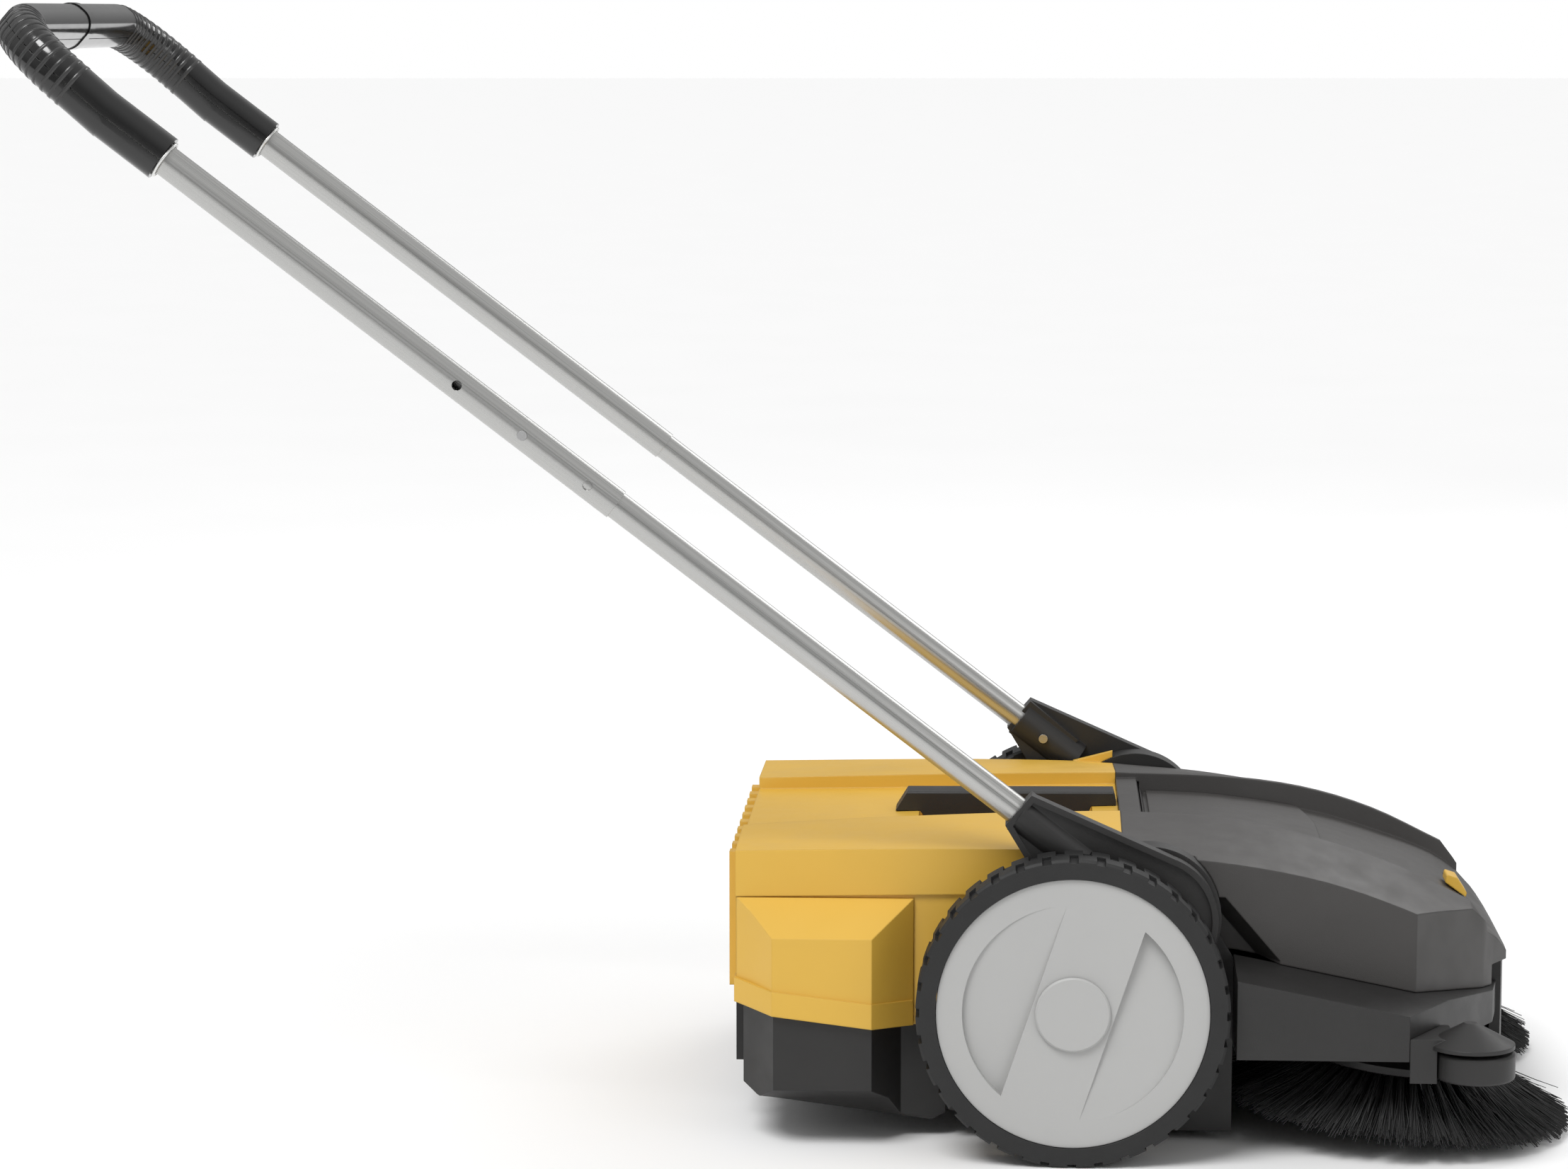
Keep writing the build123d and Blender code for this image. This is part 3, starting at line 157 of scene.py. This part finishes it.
def noise(n, coords, scale, detail=2.0, rough=0.5, stretch=None, turn=None):
    """Noise texture output on Object coordinates, stretched or turned if asked."""
    if stretch or turn:
        place = n.add("ShaderNodeMapping")
        n.link(coords, place.inputs["Vector"])
        place.inputs["Rotation"].default_value = turn or (0, 0, 0)
        squeeze = n.add("ShaderNodeMapping")
        n.link(place.outputs["Vector"], squeeze.inputs["Vector"])
        squeeze.inputs["Scale"].default_value = stretch or (1, 1, 1)
        coords = squeeze.outputs["Vector"]
    texture = n.add("ShaderNodeTexNoise")
    n.link(coords, texture.inputs["Vector"])
    texture.inputs["Scale"].default_value = scale
    texture.inputs["Detail"].default_value = detail
    texture.inputs["Roughness"].default_value = rough
    return texture.outputs["Fac"]


def remap(n, value, low, high):
    """Map 0.3..0.7 of a noise to a range."""
    node = n.add("ShaderNodeMapRange")
    n.link(value, node.inputs["Value"])
    node.inputs["From Min"].default_value = 0.3
    node.inputs["From Max"].default_value = 0.7
    node.inputs["To Min"].default_value = low
    node.inputs["To Max"].default_value = high
    return node.outputs["Result"]


def blotch(n, shader, colour, value, spread):
    """Base colour that varies a little with a noise."""
    mix = n.add("ShaderNodeMix", data_type="RGBA")
    dark = tuple(c * (1 - spread) for c in colour[:3]) + (1.0,)
    pale = tuple(min(1.0, c * (1 + spread)) for c in colour[:3]) + (1.0,)
    socket(mix.inputs, "A_Color").default_value = dark
    socket(mix.inputs, "B_Color").default_value = pale
    n.link(value, socket(mix.inputs, "Factor_Float"))
    n.link(socket(mix.outputs, "Result_Color"), shader.inputs["Base Color"])


def relief(n, shader, height, strength, distance, edge):
    """Bump from a height on top of softly rounded edges."""
    bump = n.add("ShaderNodeBump")
    n.link(height, bump.inputs["Height"])
    bump.inputs["Strength"].default_value = strength
    bump.inputs["Distance"].default_value = distance
    if edge > 0:
        soft = n.add("ShaderNodeBevel", samples=4)
        soft.inputs["Radius"].default_value = edge
        n.link(soft.outputs["Normal"], bump.inputs["Normal"])
    n.link(bump.outputs["Normal"], shader.inputs["Normal"])


def moulded(name, colour, roughness=0.5, grain=1500.0, strength=0.16, edge=0.0012, spread=0.05, coat=0.0):
    """Moulded plastic with a fine grain."""
    material, n, shader, coords = new_material(name)
    wide = noise(n, coords, 6.0, 3.0)
    blotch(n, shader, linear(colour), remap(n, wide, 0, 1), spread)
    dull = remap(n, noise(n, coords, 40.0, 4.0), roughness - 0.05, roughness + 0.05)
    n.link(dull, shader.inputs["Roughness"])
    shader.inputs["Coat Weight"].default_value = coat
    shader.inputs["Coat Roughness"].default_value = 0.12
    relief(n, shader, noise(n, coords, grain, 3.0, 0.6), strength, 0.0004, edge)
    return material


def drawn_metal(name, colour, roughness, turn, strength=0.03):
    """Drawn or brushed metal with streaks along its own axis."""
    material, n, shader, coords = new_material(name)
    streaks = noise(n, coords, 2.0, 3.0, 0.6, stretch=(1.0, 420, 420), turn=turn)
    blotch(n, shader, linear(colour), remap(n, streaks, 0, 1), 0.06)
    shader.inputs["Metallic"].default_value = 1.0
    n.link(remap(n, streaks, roughness - 0.08, roughness + 0.1), shader.inputs["Roughness"])
    relief(n, shader, streaks, strength, 0.0003, 0.0004)
    return material


def paint(obj, material):
    """Give a node or piece one material."""
    obj.data.materials.clear()
    obj.data.materials.append(material)
    for polygon in obj.data.polygons:
        polygon.material_index = 0


# ------------------------------------------------------------------ geometry helpers
def mesh_object(name, vertices, faces, smooth=False):
    """A new mesh object at the origin."""
    mesh = bpy.data.meshes.new(name)
    mesh.from_pydata([tuple(v) for v in vertices], [], faces)
    mesh.update()
    for polygon in mesh.polygons:
        polygon.use_smooth = smooth
    obj = bpy.data.objects.new(name, mesh)
    bpy.context.scene.collection.objects.link(obj)
    return obj


def box_mesh(low, high):
    """Vertices and faces of a box."""
    (a, b, c), (d, e, f) = low, high
    vertices = [(a, b, c), (d, b, c), (d, e, c), (a, e, c), (a, b, f), (d, b, f), (d, e, f), (a, e, f)]
    faces = [(0, 3, 2, 1), (4, 5, 6, 7), (0, 1, 5, 4), (1, 2, 6, 5), (2, 3, 7, 6), (3, 0, 4, 7)]
    return vertices, faces


def repeat_group(name):
    """Geometry group that puts a source mesh on every point, turned and sized by the points' attributes."""
    group = bpy.data.node_groups.new(name, "GeometryNodeTree")
    group.interface.new_socket("Geometry", in_out="INPUT", socket_type="NodeSocketGeometry")
    group.interface.new_socket("Source", in_out="INPUT", socket_type="NodeSocketObject")
    group.interface.new_socket("Material", in_out="INPUT", socket_type="NodeSocketMaterial")
    group.interface.new_socket("Geometry", in_out="OUTPUT", socket_type="NodeSocketGeometry")
    n = Nodes(group)
    given = n.add("NodeGroupInput")
    result = n.add("NodeGroupOutput")
    source = n.add("GeometryNodeObjectInfo", transform_space="ORIGINAL")
    n.link(given.outputs[1], source.inputs["Object"])
    turn = n.add("GeometryNodeInputNamedAttribute", data_type="FLOAT_VECTOR")
    turn.inputs["Name"].default_value = "turn"
    size = n.add("GeometryNodeInputNamedAttribute", data_type="FLOAT_VECTOR")
    size.inputs["Name"].default_value = "size"
    place = n.add("GeometryNodeInstanceOnPoints")
    points = n.add("GeometryNodeMeshToPoints")
    n.link(given.outputs[0], points.inputs["Mesh"])
    n.link(points.outputs["Points"], place.inputs["Points"])
    n.link(source.outputs["Geometry"], place.inputs["Instance"])
    n.link(turn.outputs["Attribute"], place.inputs["Rotation"])
    n.link(size.outputs["Attribute"], place.inputs["Scale"])
    real = n.add("GeometryNodeRealizeInstances")
    n.link(place.outputs["Instances"], real.inputs["Geometry"])
    dye = n.add("GeometryNodeSetMaterial")
    n.link(real.outputs["Geometry"], dye.inputs["Geometry"])
    n.link(given.outputs[2], dye.inputs["Material"])
    n.link(dye.outputs["Geometry"], result.inputs[0])
    return group


def repeated(name, source, places, material):
    """Copies of a source mesh as one piece. Each place is (position, rotation, size)."""
    points = bpy.data.meshes.new(name + "_points")
    points.from_pydata([tuple(p) for p, _, _ in places], [], [])
    turn = points.attributes.new("turn", "FLOAT_VECTOR", "POINT")
    turn.data.foreach_set("vector", [c for _, r, _ in places for c in r])
    size = points.attributes.new("size", "FLOAT_VECTOR", "POINT")
    size.data.foreach_set("vector", [c for _, _, s in places for c in s])
    carrier = bpy.data.objects.new(name + "_carrier", points)
    bpy.context.scene.collection.objects.link(carrier)
    group = bpy.data.node_groups.get("Repeat") or repeat_group("Repeat")
    modifier = carrier.modifiers.new("Repeat", "NODES")
    modifier.node_group = group
    inputs = [s for s in group.interface.items_tree if s.in_out == "INPUT"]
    modifier[inputs[1].identifier] = source
    modifier[inputs[2].identifier] = material
    bpy.context.view_layer.update()
    graph = bpy.context.evaluated_depsgraph_get()
    mesh = bpy.data.meshes.new_from_object(carrier.evaluated_get(graph))
    mesh.name = name
    obj = bpy.data.objects.new(name, mesh)
    bpy.context.scene.collection.objects.link(obj)
    bpy.data.objects.remove(carrier)
    bpy.data.meshes.remove(points)
    bpy.data.objects.remove(source)
    for attribute in ("turn", "size"):
        if attribute in mesh.attributes:
            mesh.attributes.remove(mesh.attributes[attribute])
    paint(obj, material)
    return obj


def hair(name, root, tip, bow, sides=3, steps=3):
    """One bristle of unit length along Z that bows towards X and thins towards its tip."""
    vertices, faces = [], []
    for k in range(steps + 1):
        t = k / steps
        r = root + (tip - root) * t
        for i in range(sides):
            a = 2 * math.pi * i / sides
            vertices.append((r * math.cos(a) + bow * t * t, r * math.sin(a), t))
    for k in range(steps):
        for i in range(sides):
            j = (i + 1) % sides
            faces.append((k * sides + i, k * sides + j, (k + 1) * sides + j, (k + 1) * sides + i))
    faces.append(tuple(range(steps * sides, (steps + 1) * sides)))
    faces.append(tuple(reversed(range(sides))))
    return mesh_object(name, vertices, faces, True)


# ------------------------------------------------------------------ properties
class SweeperFinish(bpy.types.PropertyGroup):
    """Colours of the moulded parts."""
    yellow: bpy.props.FloatVectorProperty(name="Yellow", description="Hopper plastic, sRGB", size=3,
                                          subtype="COLOR_GAMMA", default=(0.85, 0.68, 0.27))
    hood: bpy.props.FloatVectorProperty(name="Hood", description="Hood plastic, sRGB", size=3,
                                        subtype="COLOR_GAMMA", default=(0.25, 0.243, 0.238))
    black: bpy.props.FloatVectorProperty(name="Black", description="Chassis and arms, sRGB", size=3,
                                         subtype="COLOR_GAMMA", default=(0.14, 0.137, 0.135))
    disc: bpy.props.FloatVectorProperty(name="Wheel disc", description="Wheel discs, sRGB", size=3,
                                        subtype="COLOR_GAMMA", default=(0.68, 0.68, 0.675))
    smooth: bpy.props.FloatProperty(name="Smooth angle", description="Edges sharper than this stay sharp",
                                    subtype="ANGLE", default=math.radians(24))


class SweeperBristles(bpy.types.PropertyGroup):
    """Bristles of the disc brushes and of the roller."""
    tufts: bpy.props.IntProperty(name="Tufts", description="Tufts in each of the three rows", default=54)
    hairs: bpy.props.IntProperty(name="Hairs", description="Hairs in each tuft", default=34)
    width: bpy.props.FloatProperty(name="Width", description="Hair thickness at the root", unit="LENGTH",
                                   default=0.0011)
    seed: bpy.props.IntProperty(name="Seed", description="Random seed", default=7)


class SweeperGrip(bpy.types.PropertyGroup):
    """Ribs and collars of the grip."""
    ribs: bpy.props.IntProperty(name="Ribs", description="Ribs on each corner of the grip", default=13)
    rib: bpy.props.FloatProperty(name="Rib height", description="How far the ribs stand out", unit="LENGTH",
                                 default=0.0006)


class SweeperStage(bpy.types.PropertyGroup):
    """Floor, light and camera."""
    floor: bpy.props.FloatVectorProperty(name="Floor", description="Floor colour, sRGB", size=3,
                                         subtype="COLOR_GAMMA", default=(0.96, 0.96, 0.96))
    key: bpy.props.FloatProperty(name="Key", description="Strength of the key light", default=2.0)
    fill: bpy.props.FloatProperty(name="Fill", description="Strength of the light from all round",
                                  default=0.72)
    lens: bpy.props.FloatProperty(name="Lens", description="Focal length in millimetres", default=100.8)


# ------------------------------------------------------------------ operators
class SWEEPER_OT_finish(bpy.types.Operator):
    """Give every CAD part its material and smooth shading"""
    bl_idname = "sweeper.finish"
    bl_label = "Finish the parts"

    def execute(self, context):
        p = context.scene.sweeper_finish
        along = (0, -RISE, 0)
        # Moulded ABS with a fine grain, which spreads its highlights; the hood's grain is coarser than the
        # hopper's. The grip is polished, so it mirrors the lights. Tyres are matt rubber. Tubes are drawn
        # aluminium, streaked along the tubes, and small parts bright steel, streaked along the axle. Grain
        # is drawn at about a millimetre, coarser than the real one, so that it shows.
        made = {
            "yellow_plastic": moulded("yellow_plastic", p.yellow, 0.42, 1400, 0.10, 0.0016, 0.03),
            "hood_plastic": moulded("hood_plastic", p.hood, 0.5, 1300, 0.22, 0.0018, 0.04),
            "black_plastic": moulded("black_plastic", p.black, 0.48, 1300, 0.2, 0.0010, 0.06),
            "grip_plastic": moulded("grip_plastic", "#0e0e0e", 0.16, 900, 0.02, 0.0008, 0.05, 0.6),
            "wheel_plastic": moulded("wheel_plastic", p.disc, 0.5, 1600, 0.08, 0.0009, 0.015),
            "gear_plastic": moulded("gear_plastic", "#d9d7cf", 0.4, 900, 0.05, 0.0003, 0.02),
            "tyre_rubber": moulded("tyre_rubber", "#1c1c1c", 0.62, 700, 0.3, 0.0008, 0.1),
            "tube_aluminium": drawn_metal("tube_aluminium", "#bcbcba", 0.30, along),
            "steel": drawn_metal("steel", "#b9b9b9", 0.32, (0, 0, math.pi / 2)),
            "bristle": moulded("bristle", "#0f0f0f", 0.5, 300, 0.1, 0.0, 0.3),
        }
        slots = {s["node"]: s["material_slot"] for s in frame["record"]["subparts"]}
        for name, node in frame["nodes"].items():
            paint(node, made[slots[name]])
            weld = node.modifiers.new("Weld", "WELD")
            weld.merge_threshold = 0.00001
            node.data.shade_smooth()
            split = node.modifiers.new("Sharp edges", "EDGE_SPLIT")
            split.split_angle = p.smooth
        return {"FINISHED"}


def brush_hairs(p, sign, rng):
    """Places of the hairs of one disc brush, in rows of tufts."""
    spin = joint("right_brush_spin" if sign < 0 else "left_brush_spin")
    foot = Vector(spin["pos_m"])
    lean = Matrix.Rotation(TILT, 3, "Y")
    places = []
    for row, (root_r, root_h, tip_r) in enumerate(BRUSH_ROWS):
        for k in range(p.tufts):
            heading = 2 * math.pi * (k + row / 3) / p.tufts
            splay = rng.uniform(-0.03, 0.03)
            droop = rng.uniform(0.0, TUFT_LIFT)
            for _ in range(p.hairs):
                a0 = heading + rng.uniform(-0.035, 0.035)
                a1 = heading + splay + rng.gauss(0, 0.028)
                root = Vector((root_r + rng.uniform(-0.004, 0.003), 0, root_h + rng.uniform(-0.002, 0.001)))
                stray = STRAY_LIFT if rng.random() < STRAY_SHARE else 0.0
                reach = min(tip_r + rng.gauss(0, 0.0045), BRUSH_REACH)
                low = max(0.0002, rng.gauss(0.003, 0.003) + droop + stray * rng.random())
                tip = Vector((reach * math.cos(a1 - a0), reach * math.sin(a1 - a0), low))
                way = tip - root
                length = way.length
                turn = Vector((0, 0, 1)).rotation_difference(way).to_matrix()
                whole = lean @ Matrix.Rotation(a0, 3, "Z") @ turn
                spot = foot + lean @ (Matrix.Rotation(a0, 3, "Z") @ root)
                places.append((spot, whole.to_euler(), (1.0, 1.0, length)))
    return places


class SWEEPER_OT_brushes(bpy.types.Operator):
    """Build the bristles of both disc brushes"""
    bl_idname = "sweeper.brushes"
    bl_label = "Disc brush bristles"

    def execute(self, context):
        p = context.scene.sweeper_bristles
        material = bpy.data.materials["bristle"]
        for name, sign in SIDES:
            rng = random.Random(p.seed + int(sign))
            source = hair("hair", p.width / 2, p.width / 3.2, -0.004)
            piece = repeated(name + "_hairs", source, brush_hairs(p, sign, rng), material)
            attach(piece, name + "_brush")
            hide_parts(name + "_brush_bristles")
        return {"FINISHED"}


class SWEEPER_OT_roller(bpy.types.Operator):
    """Build the bristles of the sweeping roller in slanting rows"""
    bl_idname = "sweeper.roller"
    bl_label = "Roller bristles"

    def execute(self, context):
        p = context.scene.sweeper_bristles
        rng = random.Random(p.seed)
        low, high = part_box("roller_bristles")
        centre = (low + high) / 2
        reach = (high.z - low.z) / 2
        places = []
        rows, steps, inner = ROLLER_ROWS, ROLLER_TUFTS, ROLLER_CORE
        for row in range(rows):
            for k in range(steps):
                y = low.y + ROLLER_END + (high.y - low.y - 2 * ROLLER_END) * k / (steps - 1)
                slant = ROLLER_SLANT * abs(y) / high.y
                for _ in range(ROLLER_HAIRS):
                    a = 2 * math.pi * row / rows + slant + rng.gauss(0, 0.03)
                    out = Vector((math.sin(a), rng.gauss(0, 0.03), math.cos(a))).normalized()
                    turn = Vector((0, 0, 1)).rotation_difference(out).to_euler()
                    spot = Vector((centre.x, y + rng.uniform(-0.0015, 0.0015), centre.z)) + out * inner
                    places.append((spot, turn, (1, 1, reach - inner - rng.uniform(0.0, 0.0015))))
        source = hair("hair", p.width / 2, p.width / 2.5, 0.0, steps=1)
        piece = repeated("roller_hairs", source, places, bpy.data.materials["bristle"])
        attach(piece, "roller")
        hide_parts("roller_bristles")
        return {"FINISHED"}


def rounded_ring(name, half_a, half_b, corner, grow, width):
    """Thin rounded-rectangle ring around Z, its section rising by grow."""
    outline = []
    for cx, cy, start in ((1, 1, 0), (-1, 1, 90), (-1, -1, 180), (1, -1, 270)):
        for k in range(7):
            a = math.radians(start + 15 * k)
            outline.append((cx * (half_a - corner), cy * (half_b - corner), math.cos(a), math.sin(a)))
    foot, shoulder = width / 2, width / 2 * 0.7
    section = ((-foot, -SINK), (-shoulder, grow * 0.75), (0, grow), (shoulder, grow * 0.75), (foot, -SINK))
    vertices, faces = [], []
    count = len(section)
    for x, y, c, s in outline:
        for z, out in section:
            vertices.append((x + (corner + out) * c, y + (corner + out) * s, z))
    total = len(outline)
    for i in range(total):
        j = (i + 1) % total
        for k in range(count):
            m = (k + 1) % count
            faces.append((i * count + k, j * count + k, j * count + m, i * count + m))
    return mesh_object(name, vertices, faces, True)


class SWEEPER_OT_grip(bpy.types.Operator):
    """Build the grip's ribs and end collars"""
    bl_idname = "sweeper.grip"
    bl_label = "Grip details"

    def execute(self, context):
        p = context.scene.sweeper_grip
        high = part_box("upper_tube")[1]
        band = middle("grip_band")
        leg_y = high.y - TUBE_RADIUS
        steep = RISE + KINK
        along = Vector((-math.cos(steep), 0, math.sin(steep)))
        up = Vector((math.sin(steep), 0, math.cos(steep)))
        places = []
        for sign in (-1, 1):
            centre = Vector((band.x, sign * (leg_y - GRIP_BEND), band.z)) - along * GRIP_BEND
            for k in range(p.ribs):
                a = math.radians(RIB_FIRST + (RIB_LAST - RIB_FIRST) * k / (p.ribs - 1))
                out = Vector((0, sign, 0)) * math.cos(a) + along * math.sin(a)
                tangent = along * math.cos(a) - Vector((0, sign, 0)) * math.sin(a)
                spot = centre + out * GRIP_BEND
                if a < 0:
                    # on the straight leg, just before the bend
                    spot = centre + Vector((0, sign, 0)) * GRIP_BEND + along * GRIP_BEND * a
                    tangent = along
                turn = Matrix((up.cross(tangent).normalized(), up, tangent)).transposed().to_euler()
                places.append((spot, turn, (1, 1, 1)))
        ring = rounded_ring("rib", 0.0158, 0.0186, 0.014, p.rib, 0.0042)
        ribs = repeated("grip_ribs", ring, places, bpy.data.materials["grip_plastic"])
        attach(ribs, "upper_handle")
        # light collars where the tubes enter the grip
        straight = Vector((-math.cos(RISE), 0, math.sin(RISE)))
        lift = Vector((math.sin(RISE), 0, math.cos(RISE)))
        pivot = Vector(joint("handle_fold")["pos_m"])
        ends = []
        for sign in (-1, 1):
            spot = Vector((pivot.x, sign * leg_y, pivot.z)) + straight * GRIP_START + lift * TUBE_OFFSET
            turn = Matrix((lift.cross(straight).normalized(), lift, straight)).transposed().to_euler()
            ends.append((spot, turn, (1, 1, 1)))
        ring = rounded_ring("collar", 0.0150, 0.0150, 0.0149, 0.0012, 0.0026)
        collars = repeated("grip_collars", ring, ends, bpy.data.materials["tube_aluminium"])
        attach(collars, "upper_handle")
        return {"FINISHED"}


class SWEEPER_OT_trim(bpy.types.Operator):
    """Build the height marks on the hood"""
    bl_idname = "sweeper.trim"
    bl_label = "Hood marks"

    def execute(self, context):
        low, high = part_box("height_slider")
        spots = []
        slope = math.atan2(HOOD_FALL, HOOD_RUN)
        for k in range(5):
            x = low.x - 0.012 - 0.004 * k
            z = high.z - 0.0135 + (low.x - x) * math.tan(slope) * 0.99
            spots.append((Vector((x, low.y - 0.010 + 0.011 * k, z)), (0, slope, 0), (1, 1 + 0.3 * k, 1)))
        vertices, faces = box_mesh((-0.0018, -0.0035, -0.0006), (0.0018, 0.0035, 0.0010))
        mark = mesh_object("mark", vertices, faces)
        piece = repeated("height_marks", mark, spots, bpy.data.materials["black_plastic"])
        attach(piece, "machine")
        return {"FINISHED"}


def area_light(name, spot, aim, size, power, tint="#ffffff"):
    """A soft rectangular light aimed at a place."""
    light = bpy.data.lights.new(name, "AREA")
    light.shape = "RECTANGLE"
    light.size, light.size_y = size
    light.energy = power
    light.color = linear(tint)[:3]
    obj = bpy.data.objects.new(name, light)
    obj.location = spot
    obj.rotation_euler = (Vector(aim) - Vector(spot)).to_track_quat("-Z", "Y").to_euler()
    bpy.context.scene.collection.objects.link(obj)


class SWEEPER_OT_stage(bpy.types.Operator):
    """Build the floor, the lights and the camera"""
    bl_idname = "sweeper.stage"
    bl_label = "Stage"

    def execute(self, context):
        p = context.scene.sweeper_stage
        vertices, faces = box_mesh((-40, -20, -0.02), (40, 90, 0.0))
        floor = mesh_object("floor", vertices, faces)
        material, n, shader, coords = new_material("floor")
        shader.inputs["Base Color"].default_value = linear(p.floor)
        n.link(remap(n, noise(n, coords, 3.0), 0.75, 0.85), shader.inputs["Roughness"])
        paint(floor, material)
        world = bpy.data.worlds.new("Studio")
        world.use_nodes = True
        world.node_tree.nodes.clear()
        n = Nodes(world.node_tree)
        out = n.add("ShaderNodeOutputWorld")
        pick = n.add("ShaderNodeMixShader")
        rays = n.add("ShaderNodeLightPath")
        n.link(rays.outputs["Is Camera Ray"], pick.inputs["Fac"])
        # soft box: bright above, darker towards the floor
        place = n.add("ShaderNodeTexCoord")
        split = n.add("ShaderNodeSeparateXYZ")
        n.link(place.outputs["Generated"], split.inputs["Vector"])
        ramp = n.add("ShaderNodeValToRGB")
        n.link(split.outputs["Z"], ramp.inputs["Fac"])
        ramp.color_ramp.elements[0].position = 0.0
        ramp.color_ramp.elements[0].color = (0.30, 0.30, 0.30, 1)
        ramp.color_ramp.elements[1].position = 0.75
        ramp.color_ramp.elements[1].color = (0.88, 0.88, 0.88, 1)
        light = n.add("ShaderNodeBackground")
        n.link(ramp.outputs["Color"], light.inputs["Color"])
        light.inputs["Strength"].default_value = p.fill
        seen = n.add("ShaderNodeBackground")
        seen.inputs["Color"].default_value = linear("#ffffff")
        n.link(light.outputs["Background"], pick.inputs[1])
        n.link(seen.outputs["Background"], pick.inputs[2])
        n.link(pick.outputs["Shader"], out.inputs["Surface"])
        context.scene.world = world
        sun = bpy.data.lights.new("key", "SUN")
        sun.energy = p.key
        sun.angle = math.radians(28)
        key = bpy.data.objects.new("key", sun)
        key.rotation_euler = (Vector((0.35, 0.55, -1.0))).to_track_quat("-Z", "Y").to_euler()
        context.scene.collection.objects.link(key)
        area_light("rim", (1.8, 2.6, 2.4), (0.2, 0, 0.2), (2.0, 1.2), 22)
        area_light("front", (2.2, -2.0, 1.2), (0.3, 0, 0.15), (1.4, 1.2), 9)
        camera = bpy.data.cameras.new("camera")
        camera.lens = p.lens
        camera.sensor_width = 36
        camera.sensor_fit = "HORIZONTAL"
        camera.clip_end = 60
        obj = bpy.data.objects.new("camera", camera)
        yaw, pitch = math.radians(-3.07), math.radians(7.43)
        ahead = Vector((math.sin(yaw) * math.cos(pitch), math.cos(yaw) * math.cos(pitch), -math.sin(pitch)))
        right = Vector((math.cos(yaw), -math.sin(yaw), 0))
        up = right.cross(ahead)
        spot = at_axle(-45.3, -3640.2, 895.2)
        pose = Matrix((right, up, -ahead)).transposed().to_4x4()
        pose.translation = spot
        obj.matrix_world = pose
        context.scene.collection.objects.link(obj)
        context.scene.camera = obj
        context.scene.view_settings.view_transform = "Standard"
        return {"FINISHED"}


class SWEEPER_PT_panel(bpy.types.Panel):
    """Buttons that rebuild each group of pieces"""
    bl_label = "Sweeper"
    bl_idname = "SWEEPER_PT_panel"
    bl_space_type = "VIEW_3D"
    bl_region_type = "UI"
    bl_category = "Sweeper"

    def draw(self, context):
        for operator in OPERATORS:
            self.layout.operator(operator.bl_idname)


GROUPS = (("sweeper_finish", SweeperFinish), ("sweeper_bristles", SweeperBristles),
          ("sweeper_grip", SweeperGrip), ("sweeper_stage", SweeperStage))
OPERATORS = (SWEEPER_OT_finish, SWEEPER_OT_brushes, SWEEPER_OT_roller, SWEEPER_OT_grip, SWEEPER_OT_trim,
             SWEEPER_OT_stage)


def register():
    for name, group in GROUPS:
        bpy.utils.register_class(group)
        setattr(bpy.types.Scene, name, bpy.props.PointerProperty(type=group))
    for operator in OPERATORS:
        bpy.utils.register_class(operator)
    bpy.utils.register_class(SWEEPER_PT_panel)


def unregister():
    bpy.utils.unregister_class(SWEEPER_PT_panel)
    for operator in reversed(OPERATORS):
        bpy.utils.unregister_class(operator)
    for name, group in reversed(GROUPS):
        delattr(bpy.types.Scene, name)
        bpy.utils.unregister_class(group)


def main():
    register()
    bpy.ops.sweeper.finish()
    bpy.ops.sweeper.brushes()
    bpy.ops.sweeper.roller()
    bpy.ops.sweeper.grip()
    bpy.ops.sweeper.trim()
    bpy.ops.sweeper.stage()


if __name__ == "__main__":
    main()
